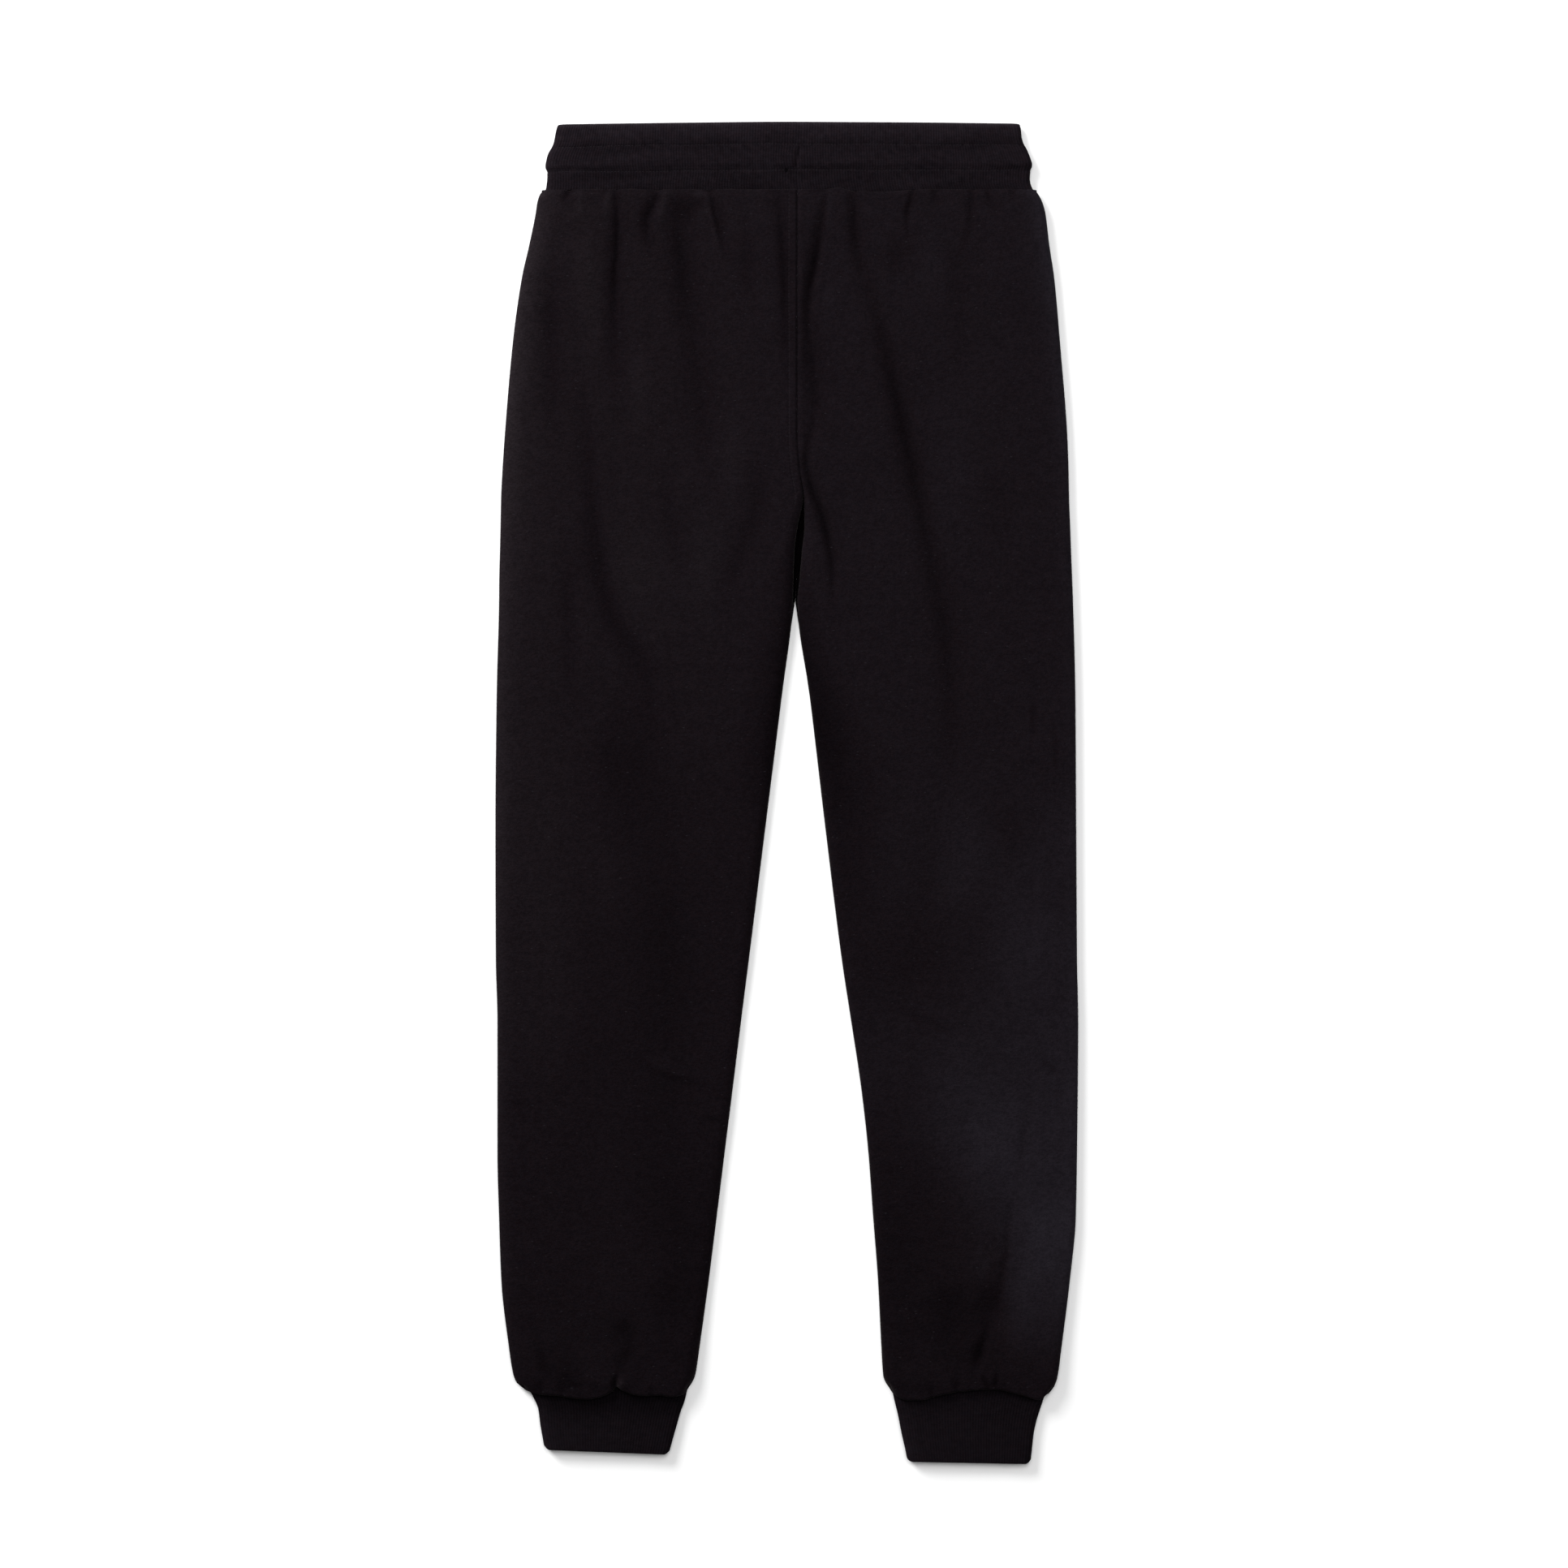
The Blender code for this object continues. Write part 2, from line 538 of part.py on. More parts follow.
def main():
    """Build the seven pieces and put them in the garment's collection."""
    clear_scene()
    collection = bpy.data.collections.new(COLLECTION)
    bpy.context.scene.collection.children.link(collection)
    fleece = cloth_material("black_fleece", (0.0085, 0.0068, 0.0080), 0.95)
    rib = cloth_material("black_rib", (0.0075, 0.0060, 0.0072), 0.90)
    pieces = [(waistband(), rib)]
    for hand in ("left", "right"):
        pieces.append((back_panel(hand), fleece))
        pieces.append((front_panel(hand), fleece))
        pieces.append((cuff(hand), rib))
    for piece, material in pieces:
        piece.data.materials.append(material)
        collection.objects.link(piece)


main()
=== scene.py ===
"""Looks of a pair of black fleece joggers laid flat with the back upwards.

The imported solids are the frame: +Y points to the waistband, the wearer's left is at -X
and the garment rests on Z = 0. Lengths are metres, and millimetres in the tables that say
so. Places along the garment are given as a distance down from the top edge of the
waistband, and places across it as X.
"""

import logging
import math
from dataclasses import astuple, dataclass, field
from enum import Enum
from typing import Callable, Mapping, Sequence, TypeVar

import bmesh
import bpy
import numpy as np
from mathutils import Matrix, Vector


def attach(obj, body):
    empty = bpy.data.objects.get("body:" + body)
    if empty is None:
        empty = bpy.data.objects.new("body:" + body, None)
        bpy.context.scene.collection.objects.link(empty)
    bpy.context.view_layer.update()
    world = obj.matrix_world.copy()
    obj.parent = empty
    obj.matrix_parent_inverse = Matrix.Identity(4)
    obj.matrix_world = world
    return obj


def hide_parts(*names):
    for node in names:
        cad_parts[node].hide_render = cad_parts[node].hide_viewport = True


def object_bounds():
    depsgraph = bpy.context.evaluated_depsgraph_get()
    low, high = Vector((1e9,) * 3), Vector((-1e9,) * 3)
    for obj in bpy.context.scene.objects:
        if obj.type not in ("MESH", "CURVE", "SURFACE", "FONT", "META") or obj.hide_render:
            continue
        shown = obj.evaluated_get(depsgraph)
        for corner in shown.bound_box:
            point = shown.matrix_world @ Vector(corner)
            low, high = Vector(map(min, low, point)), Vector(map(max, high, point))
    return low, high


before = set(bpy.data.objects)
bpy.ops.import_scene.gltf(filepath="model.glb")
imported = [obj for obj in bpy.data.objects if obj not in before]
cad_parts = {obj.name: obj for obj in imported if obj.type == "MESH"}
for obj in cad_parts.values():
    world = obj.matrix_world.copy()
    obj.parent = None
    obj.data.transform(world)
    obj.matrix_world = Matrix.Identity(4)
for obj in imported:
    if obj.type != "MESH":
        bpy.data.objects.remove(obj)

Row = TypeVar("Row")

CAD_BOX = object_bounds()
LOG = logging.getLogger("joggers")
ROOT = "root"

# --- the garment's own sizes ---------------------------------------------------------

WAIST_Y = CAD_BOX[1].y      # top edge of the waistband
FLEECE = 0.0018             # one layer of brushed fleece
SEAM_GAP = 0.0002
SIDE_SEAM_HEIGHT = 0.0044   # height of the side seam on the fold at the garment's edge
UNDER_FOLD_REACH = 0.007
WAIST_SEAM = 0.0510
LEG_END = 0.9500
CROTCH = 0.3560             # where the two legs part
RISE_END = 0.2880           # where the rise seam runs down between the legs
RIB_PITCH = 0.0020
RIB_HEIGHT = 0.00034
RIB_FULLNESS = 0.7          # below 1 for full ribs with narrow grooves between them
EDGE_ROUNDING = 0.0011      # how far a doubled edge of rib knit is drawn in at its fold
TOPSTITCH_SETBACK = 0.0060  # how far the topstitching runs from the rise seam
MM_A_METRE = 1000
PAINTED_SHADING = "painted_shading"                 # vertex attribute: painted light and shade, above 0 where it is painted lighter and below 0 where painted darker


class Hand(Enum):
    """Which half of the garment a piece belongs to, as seen with the back upwards."""

    LEFT = "left"
    RIGHT = "right"

    @property
    def inward(self) -> float:
        """Direction along X from this half's side towards the middle."""
        return 1.0 if self is Hand.LEFT else -1.0


@dataclass(frozen=True)
class Edge:
    """Edges of the panels at one distance down."""

    down: float
    left_side: float
    left_inner: float
    right_inner: float
    right_side: float


@dataclass(frozen=True)
class Lie:
    """How high the back lies at one distance down, and how far its inner edge rolls."""

    down: float
    height: float
    roll: float


@dataclass(frozen=True)
class Fold:
    """A soft crease along a path of (x, down) points, with its lengths in millimetres.

    depth is above 0 for a trough and below 0 for a ridge. shoulder is the height of the
    ridges beside a trough as a share of its depth, lean puts them to one side (1 is +X),
    and peak says how far along the path the crease is deepest.
    """

    depth: float
    width: float
    peak: float
    path: tuple[tuple[float, float], ...]
    shoulder: float = 0.0
    lean: float = 0.0


@dataclass(frozen=True)
class PaintedPatch:
    """A patch of painted light, with its lengths in millimetres.

    lift is above 0 where the patch is painted lighter and below 0 where it is painted darker.
    """

    x: float
    down: float
    across: float
    along: float
    lift: float


@dataclass(frozen=True)
class Rim:
    """Painted light along an edge at one distance down, painted shade where below 0, and how far in that
    reaches.
    """

    down: float
    lift: float
    reach: float


@dataclass(frozen=True)
class Bump:
    """A bell-shaped swell at a place on a line, or a groove if its height is below 0."""

    place: float
    width: float
    height: float

    def at(self, where: np.ndarray) -> np.ndarray:
        """Height that it adds at places on the line."""
        return self.height * np.exp(-(((where - self.place) / self.width) ** 2))


@dataclass(frozen=True)
class Ease:
    """A smooth rise from 0 to 1 that starts at one place and takes a reach to end."""

    start: float
    reach: float

    def at(self, where: np.ndarray) -> np.ndarray:
        """How far it has risen at places on the line."""
        return smooth_step((where - self.start) / self.reach)


@dataclass(frozen=True)
class Wave:
    """An even wave along X: its height, radians to the metre, and phase at the middle."""

    height: float
    pace: float
    phase: float = 0.0

    def at(self, x: np.ndarray, shift: np.ndarray | float = 0.0) -> np.ndarray:
        """Height of the wave at places across, with its phase shifted."""
        return self.height * np.sin(x * self.pace + self.phase + shift)


def in_metres(*rows: Row) -> tuple[Row, ...]:
    """Rows of a table of lengths, from rows in millimetres."""
    return tuple(type(row)(*(value / MM_A_METRE for value in astuple(row))) for row in rows)


SIDE_FOLD_REACH = {Hand.LEFT: 0.018, Hand.RIGHT: 0.006}
INNER_FOLD_REACH = {Hand.LEFT: 0.009, Hand.RIGHT: 0.009}

# Painted highlight along each leg's outer side, where the folded edge turns to the lamps.
SIDE_RIMS = {
    Hand.LEFT: (
        Rim(0.05, 0.6, 0.007), Rim(0.1, 0.75, 0.008), Rim(0.15, 0.8, 0.009), Rim(0.2, 0.76, 0.01),
        Rim(0.25, 0.72, 0.011), Rim(0.3, 0.66, 0.011), Rim(0.35, 0.58, 0.01), Rim(0.42, 0.46, 0.009),
        Rim(0.5, 0.54, 0.008), Rim(0.6, 0.5, 0.006), Rim(0.7, 0.38, 0.006), Rim(0.8, 0.26, 0.006),
        Rim(0.9, 0.34, 0.005), Rim(0.95, 0.2, 0.004),
    ),
    Hand.RIGHT: (
        Rim(0.05, 0.9, 0.006), Rim(0.1, 1.0, 0.006), Rim(0.18, 0.75, 0.005), Rim(0.25, 0.5, 0.005),
        Rim(0.4, 0.38, 0.004), Rim(0.55, 0.5, 0.004), Rim(0.64, 0.6, 0.004), Rim(0.7, 0.5, 0.004),
        Rim(0.78, 0.4, 0.004), Rim(0.85, 0.2, 0.004), Rim(0.95, 0.05, 0.003),
    ),
}
# Painted shade along the inner edges, where the cloth falls away from the light.
INNER_RIMS = {
    Hand.LEFT: (
        Rim(0.3, 0.0, 0.006), Rim(0.35, -0.32, 0.012), Rim(0.42, -0.44, 0.017), Rim(0.48, -0.38, 0.017),
        Rim(0.53, -0.16, 0.014), Rim(0.6, -0.02, 0.01), Rim(0.7, 0.0, 0.01), Rim(0.76, -0.05, 0.03),
        Rim(0.84, -0.14, 0.036), Rim(0.9, -0.08, 0.026), Rim(0.95, 0.0, 0.02),
    ),
    Hand.RIGHT: (
        Rim(0.32, 0.0, 0.006), Rim(0.36, -0.28, 0.009), Rim(0.4, -0.46, 0.014), Rim(0.44, -0.54, 0.023),
        Rim(0.47, -0.58, 0.028), Rim(0.5, -0.46, 0.031), Rim(0.55, -0.22, 0.032), Rim(0.62, -0.12, 0.036),
        Rim(0.66, -0.06, 0.04), Rim(0.71, 0.0, 0.04), Rim(0.75, -0.12, 0.03), Rim(0.785, -0.28, 0.032),
        Rim(0.84, -0.28, 0.04), Rim(0.88, -0.2, 0.048), Rim(0.92, -0.02, 0.05), Rim(0.95, 0.0, 0.04),
    ),
}
# Patches of painted light and painted shade over the broad swells and hollows of the cloth.
PAINTED_PATCHES = (
    PaintedPatch(-77, 65, 18, 15, -0.34), PaintedPatch(-145, 135, 16, 80, 0.10), PaintedPatch(-109, 205, 10, 50, 0.05),
    PaintedPatch(-112, 345, 45, 80, 0.08), PaintedPatch(-42, 245, 16, 90, 0.03), PaintedPatch(-60, 330, 20, 70, 0.10),
    PaintedPatch(-116, 485, 38, 80, -0.20), PaintedPatch(-90, 620, 38, 110, -0.12), PaintedPatch(-96, 698.5, 11, 7, 0.18),
    PaintedPatch(-185, 600, 50, 240, 0.14), PaintedPatch(-135, 560, 26, 90, 0.06), PaintedPatch(-93, 770, 36, 110, -0.10),
    PaintedPatch(-130, 860, 30, 60, 0.06), PaintedPatch(-82, 870, 24, 80, -0.10), PaintedPatch(31, 65, 7, 22, 0.10),
    PaintedPatch(33, 130, 10, 30, 0.06), PaintedPatch(83, 100, 20, 22, -0.10), PaintedPatch(106, 110, 20, 40, 0.10),
    PaintedPatch(125, 260, 30, 90, 0.08), PaintedPatch(130, 545, 36, 60, 0.16), PaintedPatch(168, 528, 26, 34, -0.09),
    PaintedPatch(176, 600, 40, 70, 0.12), PaintedPatch(96, 625, 48, 56, -0.12), PaintedPatch(125, 710, 36, 48, 0.12),
    PaintedPatch(123, 890, 30, 50, -0.16), PaintedPatch(145, 850, 10, 26, 0.08), PaintedPatch(150, 880, 14, 30, -0.16),
    PaintedPatch(193, 832, 26, 40, 0.16),
)
LEG_TONES = {  # distance down, and the painted light over the whole leg there, turning to painted shade near the hem
    Hand.LEFT: (
        (0.05, 0.09), (0.3, 0.09), (0.5, 0.03), (0.62, -0.02), (0.76, -0.04), (0.84, -0.04),
        (0.88, -0.08), (0.91, -0.12), (0.93, -0.14), (0.95, -0.12),
    ),
    Hand.RIGHT: (
        (0.05, 0.1), (0.45, 0.08), (0.56, 0.12), (0.64, 0.12), (0.7, 0.14), (0.76, 0.12), (0.82, 0.1),
        (0.86, 0.06), (0.9, -0.08), (0.93, -0.14), (0.95, -0.12),
    ),
}


@dataclass(frozen=True)
class PaintedSheen:
    """Painted sheen at one distance down: none at the first place, full at the second."""

    down: float
    none: float
    full: float
    lift: float


# Painted sheen across the lower right leg, strongest towards its outer side.
PAINTED_SHEENS = (
    PaintedSheen(0.48, 0.14, 0.21, 0.0), PaintedSheen(0.53, 0.15, 0.21, 0.1), PaintedSheen(0.58, 0.14, 0.205, 0.14),
    PaintedSheen(0.64, 0.125, 0.195, 0.2), PaintedSheen(0.68, 0.105, 0.185, 0.22), PaintedSheen(0.72, 0.08, 0.165, 0.3),
    PaintedSheen(0.745, 0.078, 0.155, 0.38), PaintedSheen(0.77, 0.092, 0.166, 0.46), PaintedSheen(0.795, 0.112, 0.182, 0.5),
    PaintedSheen(0.82, 0.13, 0.19, 0.54), PaintedSheen(0.845, 0.15, 0.184, 0.52), PaintedSheen(0.87, 0.154, 0.178, 0.44),
    PaintedSheen(0.89, 0.15, 0.182, 0.34), PaintedSheen(0.905, 0.146, 0.19, 0.26), PaintedSheen(0.93, 0.146, 0.196, 0.14),
    PaintedSheen(0.95, 0.146, 0.196, 0.08),
)

EDGES = in_metres(
    Edge(50, -180, 7.6, 7.6, 184.2), Edge(54, -184, 7.6, 7.6, 187.4), Edge(60, -186, 7.6, 7.6, 190.5),
    Edge(68, -187.2, 7.6, 7.6, 192.7), Edge(92, -192.1, 7.6, 7.6, 195.7),
    Edge(116, -197.5, 7.6, 7.6, 199.3), Edge(164, -204.2, 7.6, 7.6, 203.6),
    Edge(233, -210.2, 7.6, 7.6, 209), Edge(260, -212, 9.5, 9.5, 210),
    Edge(280, -213, 12.2, 12.6, 210.4), Edge(301, -213.4, 8.2, 13, 211.2),
    Edge(318, -213.8, 6, 11.3, 211.8), Edge(343, -214.4, 5, 9.1, 212.8),
    Edge(356, -214.5, 4.7, 7.8, 213.3), Edge(429, -216.3, -3.9, 17.2, 215.1),
    Edge(526, -217.2, -16, 28.7, 215.7), Edge(623, -216.9, -28.1, 40.8, 216.3),
    Edge(671, -215.7, -34.2, 48.1, 217.2), Edge(719.5, -215.7, -40.2, 55.4, 216.9),
    Edge(768, -215.7, -46.3, 60.8, 216.3), Edge(816.5, -214.5, -52.3, 64.4, 215.4),
    Edge(865, -212.7, -58.4, 68.1, 210.8), Edge(913, -207.2, -65, 70.5, 204.8),
    Edge(937.5, -203.6, -68.5, 72, 201.5), Edge(944.5, -200.9, -71.2, 74.5, 199),
    Edge(950, -194.5, -74.7, 78.3, 195),
)

LIES = (
    Lie(0.05, 0.009, 0.0), Lie(0.056, 0.01, 0.0), Lie(0.07, 0.01, 0.0), Lie(0.13, 0.0088, 0.0),
    Lie(0.262, 0.0084, 0.0), Lie(0.275, 0.0084, 0.22), Lie(0.286, 0.0084, 0.65), Lie(0.3, 0.0085, 1.0),
    Lie(0.42, 0.0084, 1.0), Lie(0.7, 0.0082, 1.0), Lie(0.88, 0.0088, 1.0), Lie(0.92, 0.0104, 1.0),
    Lie(0.94, 0.0114, 1.0), Lie(0.95, 0.0112, 1.0),
)

# Lower edge of each leg, where its gathered cloth hangs over the cuff: x and down.
LEG_HEMS = {
    Hand.LEFT: (
        (-0.1965, 0.9445), (-0.19, 0.947), (-0.184, 0.9485), (-0.172, 0.9493), (-0.16, 0.951),
        (-0.1497, 0.9519), (-0.1393, 0.9502), (-0.1307, 0.9464), (-0.1264, 0.9425), (-0.1221, 0.9451),
        (-0.1136, 0.9485), (-0.105, 0.9493), (-0.0946, 0.9489), (-0.086, 0.9501), (-0.0774, 0.9487),
        (-0.074, 0.9455),
    ),
    Hand.RIGHT: (
        (0.077, 0.946), (0.0825, 0.9502), (0.0894, 0.9526), (0.0997, 0.9526), (0.11, 0.95),
        (0.1203, 0.9475), (0.1324, 0.9457), (0.1444, 0.9447), (0.1564, 0.9447), (0.1668, 0.9467),
        (0.177, 0.9495), (0.1874, 0.9524), (0.194, 0.948),
    ),
}

WAIST_GATHERS = (
    Fold(1.6, 2.8, 0.1, ((-161, 50), (-163.5, 56), (-168, 64)), 0.6),
    Fold(-1, 4.8, 0.2, ((-153.5, 50), (-154, 68), (-155, 85))),
    Fold(0.8, 2.6, 0.1, ((-134, 50), (-137, 56), (-140, 64)), 0.5),
    Fold(2.1, 2.6, 0.4, ((-127.2, 20), (-126.8, 50), (-126, 72), (-126.6, 96), (-128, 120), (-128, 150),
         (-127, 185))),
    Fold(-1.2, 4.2, 0.2, ((-131.8, 50), (-133.5, 64), (-135, 82))),
    Fold(2.2, 7.8, 0.46, ((-127, 44), (-127.2, 80), (-128.2, 120), (-127.2, 160), (-123.5, 200),
         (-117, 250))),
    Fold(-1.4, 10, 0.4, ((-150, 75), (-149.5, 120), (-148, 160))),
    Fold(3.2, 3.8, 0.46, ((-93.5, 36), (-95.5, 55), (-100.3, 65.5), (-103.5, 74.5), (-103.2, 84),
         (-101, 93), (-98.5, 108)), 0.2, 0.4),
    Fold(-1.6, 5, 0.1, ((-90, 50), (-92, 70), (-95, 90))),
    Fold(1.8, 5.6, 0.4, ((-80.5, 54), (-79.5, 76), (-78, 94), (-74.5, 120), (-70.8, 144), (-68.5, 160))),
    Fold(3.6, 11, 0.35, ((-79, 30), (-77, 90), (-72, 135), (-66, 175), (-61.5, 215), (-58.5, 260),
         (-57, 325))),
    Fold(1.4, 3, 0.35, ((-58.5, 44), (-55.5, 60), (-52, 74), (-48.5, 88), (-44.5, 102),
         (-41, 118)), 0.6, -1.0),
    Fold(1, 3, 0.4, ((-60, 54), (-64, 62), (-69, 71))),
    Fold(-0.9, 5.5, 0.1, ((-63, 52), (-64.5, 70), (-66, 90))),
    Fold(0.8, 1.4, 0.5, ((-64, 51.2), (-52, 51.2))),
    Fold(1.2, 6, 0.4, ((-31, 64), (-29, 80), (-28.2, 100), (-27.2, 130), (-24, 160)), 0.2),
    Fold(2.6, 4.2, 0.45, ((-6.5, 30), (-3.5, 79), (-2, 100), (-0.8, 130), (-0.2, 170),
         (0, 210)), 0.0, -0.4),
    Fold(-1.2, 11, 0.4, ((-110, 160), (-108, 200), (-105, 250))),
    Fold(-1.2, 10, 0.5, ((-37, 200), (-37.5, 250), (-40, 300))),
    Fold(2.2, 8, 0.4, ((-173.5, 80), (-174.5, 140), (-173.5, 200), (-172, 270))),
    Fold(1.6, 1.8, 0.5, ((15, 50.8), (33, 50.8))),
    Fold(0.7, 1.8, 0.35, ((29.6, 46), (28.4, 64), (26.8, 82), (24.8, 100))),
    Fold(4.2, 3.6, 0.45, ((28.2, 46), (26.8, 62), (25.2, 80), (23.5, 96), (20.6, 112), (17.8, 126),
         (16.6, 142), (17, 156), (18.4, 170), (20.5, 190)), 0.2, 0.5),
    Fold(3.6, 7, 0.5, ((16, 130), (20, 175), (22.6, 202), (21.8, 224), (17.5, 250)), 0.1),
    Fold(2.6, 4.4, 0.45, ((49, 24), (50, 52), (51, 70), (51.8, 85), (54, 102), (59.5, 122),
         (65.5, 140)), 0.2),
    Fold(4.4, 6.2, 0.4, ((53.5, 85), (60, 116), (68.8, 147.5), (73.2, 163), (76.8, 177), (80.3, 191.6),
         (84, 208), (88.4, 228), (93, 248), (97.6, 270), (102.4, 294), (107, 318), (112.3, 340),
         (116, 360), (118.8, 378), (122, 402), (124, 430)), 0.2, 0.2),
    Fold(3, 8.5, 0.4, ((105, 305), (112, 335), (117.2, 362), (120.5, 385), (123.2, 410), (125, 440),
         (123.8, 475), (118.5, 520)), 0.1),
    Fold(1.4, 2.4, 0.5, ((93.5, 26), (93.7, 50), (91.5, 62), (89.8, 72), (90.2, 82),
         (92.5, 96)), 0.5, -0.2),
    Fold(0.6, 10, 0.5, ((86, 82), (84, 100), (85, 120))),
    Fold(0.9, 1.6, 0.5, ((106, 50.8), (119, 50.8))),
    Fold(1.2, 2.6, 0.0, ((110, 50), (111.5, 60), (115, 70)), 0.5),
    Fold(1.2, 3.6, 0.4, ((138.8, 20), (138.5, 48), (137.6, 66), (136, 82), (132.5, 96),
         (131.2, 112)), 0.4),
    Fold(1.4, 9, 0.3, ((132, 80), (130, 130), (130, 180), (131, 230))),
    Fold(1.2, 2.8, 0.0, ((150, 50), (153, 62), (158, 76)), 0.4),
    Fold(1.1, 2.8, 0.0, ((168, 50), (169, 62)), 0.4),
)

# How far the waist seam strays up at places across: where folds swell over it, and the
# droop where the seat is full, which the band's lower edge follows.
DROOP = Bump(0.0680, 0.0200, -0.0018)
WAIST_BULGES = (
    Bump(-0.148, 0.007, 0.0005), Bump(-0.116, 0.007, 0.0006), Bump(-0.074, 0.006, 0.0006),
    Bump(-0.044, 0.006, 0.0005), Bump(0.038, 0.006, 0.0013), DROOP,
    Bump(0.112, 0.007, 0.0004), Bump(0.160, 0.010, 0.0005),
)

# Height across the rise seam, by the distance from it into each half.
RISE_BUMPS = {
    Hand.LEFT: (Bump(TOPSTITCH_SETBACK, 0.0006, -0.0004), Bump(0.0, 0.0009, -0.0006)),
    Hand.RIGHT: (Bump(0.0, 0.0013, -0.0007), Bump(0.0040, 0.0020, 0.0003)),
}

SEAT_CREASES = (
    Fold(3.6, 7, 0.68, ((-157, 150), (-153.6, 178), (-151, 210), (-146.2, 246), (-144.4, 269),
         (-142.6, 287), (-140.8, 307), (-138.6, 323.4), (-135.2, 342), (-130.7, 360), (-125, 376),
         (-117.6, 388.5), (-109.2, 402), (-102, 416), (-97.5, 433), (-94, 475)), 0.3, 0.5),
    Fold(-1.2, 13, 0.5, ((-123, 290), (-118, 340), (-102, 375))),
    Fold(1.3, 6, 0.5, ((-163, 300), (-162, 350), (-161, 400), (-161, 450))),
    Fold(1.4, 7.8, 0.6, ((-96.5, 225), (-92.5, 257), (-87, 290), (-80, 322), (-76, 355))),
    Fold(2, 9.2, 0.4, ((-18.5, 225), (-18.5, 270), (-21.5, 295), (-33, 325), (-43, 355), (-48, 400))),
    Fold(4.2, 3.2, 0.52, ((23.2, 205), (21.2, 222), (17.2, 240), (15.2, 255), (18.6, 270), (23.6, 284),
         (28.6, 298), (32.1, 313), (34.4, 328), (35.3, 343), (35.8, 358), (37.1, 384)), 0.4, 0.4),
    Fold(-2.6, 15, 0.5, ((15, 380), (22.5, 430), (27, 470), (34, 530), (43, 600))),
    Fold(1, 10, 0.5, ((140, 262), (160, 280), (182, 300))),
    Fold(0.7, 2, 0.5, ((184, 430), (184, 445), (184.5, 462))),
    Fold(0.6, 1.6, 0.5, ((200, 446), (200, 476), (208, 492))),
)

LEG_CREASES = (
    Fold(3.4, 24, 0.4, ((-80, 400), (-85, 500), (-84, 620), (-82, 760), (-78, 920))),
    Fold(1.2, 7, 0.5, ((-142, 452), (-133, 470), (-126, 492), (-118, 520))),
    Fold(0.9, 3.4, 0.4, ((-112, 693), (-102, 704.5), (-91.5, 711.5), (-77, 714.5), (-65.6, 718),
         (-56, 722.5), (-47.5, 728.5)), 0.9, 1.0),
    Fold(0.9, 3, 0.5, ((-66, 739), (-57, 743), (-46, 745)), 0.8, 1.0),
    Fold(0.8, 1.8, 0.4, ((-215, 733.5), (-195, 732.5), (-172, 731.2)), 0.4),
    Fold(2, 15, 0.5, ((112, 480), (115, 540), (100, 600), (90, 650))),
    Fold(0.7, 5, 0.5, ((68, 650), (90, 664), (120, 676), (146, 668)), 0.8, 1.0),
    Fold(0.7, 2, 0.5, ((187, 693), (197.4, 705), (207.5, 715)), 0.6, 1.0),
    Fold(1, 3.6, 0.6, ((182, 700), (180, 730), (176.5, 760), (173.5, 785), (169, 810))),
    Fold(-2.6, 20, 0.4, ((70, 745), (74, 800), (80, 870))),
    Fold(2.6, 18, 0.5, ((102, 745), (111, 800), (121, 850), (129, 900))),
    Fold(-1.6, 16, 0.5, ((142, 740), (144, 790), (146, 840))),
)

HEM_GATHERS = (
    Fold(1.9, 5.2, 0.66, ((-137, 901), (-130, 897), (-124, 896.5), (-118.5, 900), (-115.5, 907),
         (-115.8, 914.5), (-119.5, 921.5), (-121.3, 929), (-125.5, 942)), 0.3, 0.2),
    Fold(2.6, 2.4, 0.6, ((-122.5, 929), (-126, 935), (-128, 941), (-127.2, 950)), 0.5),
    Fold(1.8, 7, 0.5, ((-129, 892), (-123.5, 903), (-121, 918))),
    Fold(-2.8, 3, 0.6, ((-123, 930), (-122.8, 948))),
    Fold(1.6, 11, 0.5, ((-96, 850), (-89, 880), (-80, 915))),
    Fold(1.3, 3.6, 0.6, ((-186.5, 900), (-183, 915), (-179.8, 926), (-176.3, 936),
         (-174.6, 946)), 0.6, 0.4),
    Fold(1, 2.6, 0.9, ((-183, 934), (-182.8, 949)), 0.5),
    Fold(0.9, 3, 0.9, ((-169.5, 934), (-166, 951)), 0.5),
    Fold(1, 2.6, 0.9, ((-154.5, 938), (-153, 951)), 0.5),
    Fold(1, 3, 0.9, ((-101, 938), (-100, 950)), 0.4),
    Fold(-1.6, 10, 0.8, ((-141, 895), (-141, 920), (-141, 948))),
    Fold(2.6, 10, 0.8, ((-160, 918), (-161, 935), (-158, 950))),
    Fold(1.3, 3.4, 0.6, ((173, 780), (169, 803.4), (165, 824), (163.5, 844.6), (160.5, 862), (158.2, 878),
         (156.5, 891.6), (154.8, 905)), 0.4, 0.3),
    Fold(1.8, 11, 0.6, ((152, 855), (150.5, 880), (147.5, 905))),
    Fold(3.1, 4, 0.58, ((150, 886), (148.6, 898), (146.5, 909), (142.9, 920.5), (139.3, 931),
         (138, 940)), 0.3, 0.3),
    Fold(2, 11, 0.5, ((119, 862), (123, 890), (125, 915))),
    Fold(1.6, 3, 0.8, ((123.5, 925), (126.2, 940), (127, 950)), 0.5),
    Fold(1.6, 2.2, 0.8, ((143.5, 928), (147.5, 938), (151, 946)), 0.6),
    Fold(1.6, 2.2, 0.8, ((158, 922), (156.5, 934), (154.5, 946)), 0.6),
    Fold(0.9, 2.6, 0.9, ((108, 936), (108, 951)), 0.4),
    Fold(-2, 12, 0.7, ((182, 830), (176, 880), (168, 945))),
    Fold(-1, 11, 0.8, ((105, 900), (102, 925), (100, 948))),
)

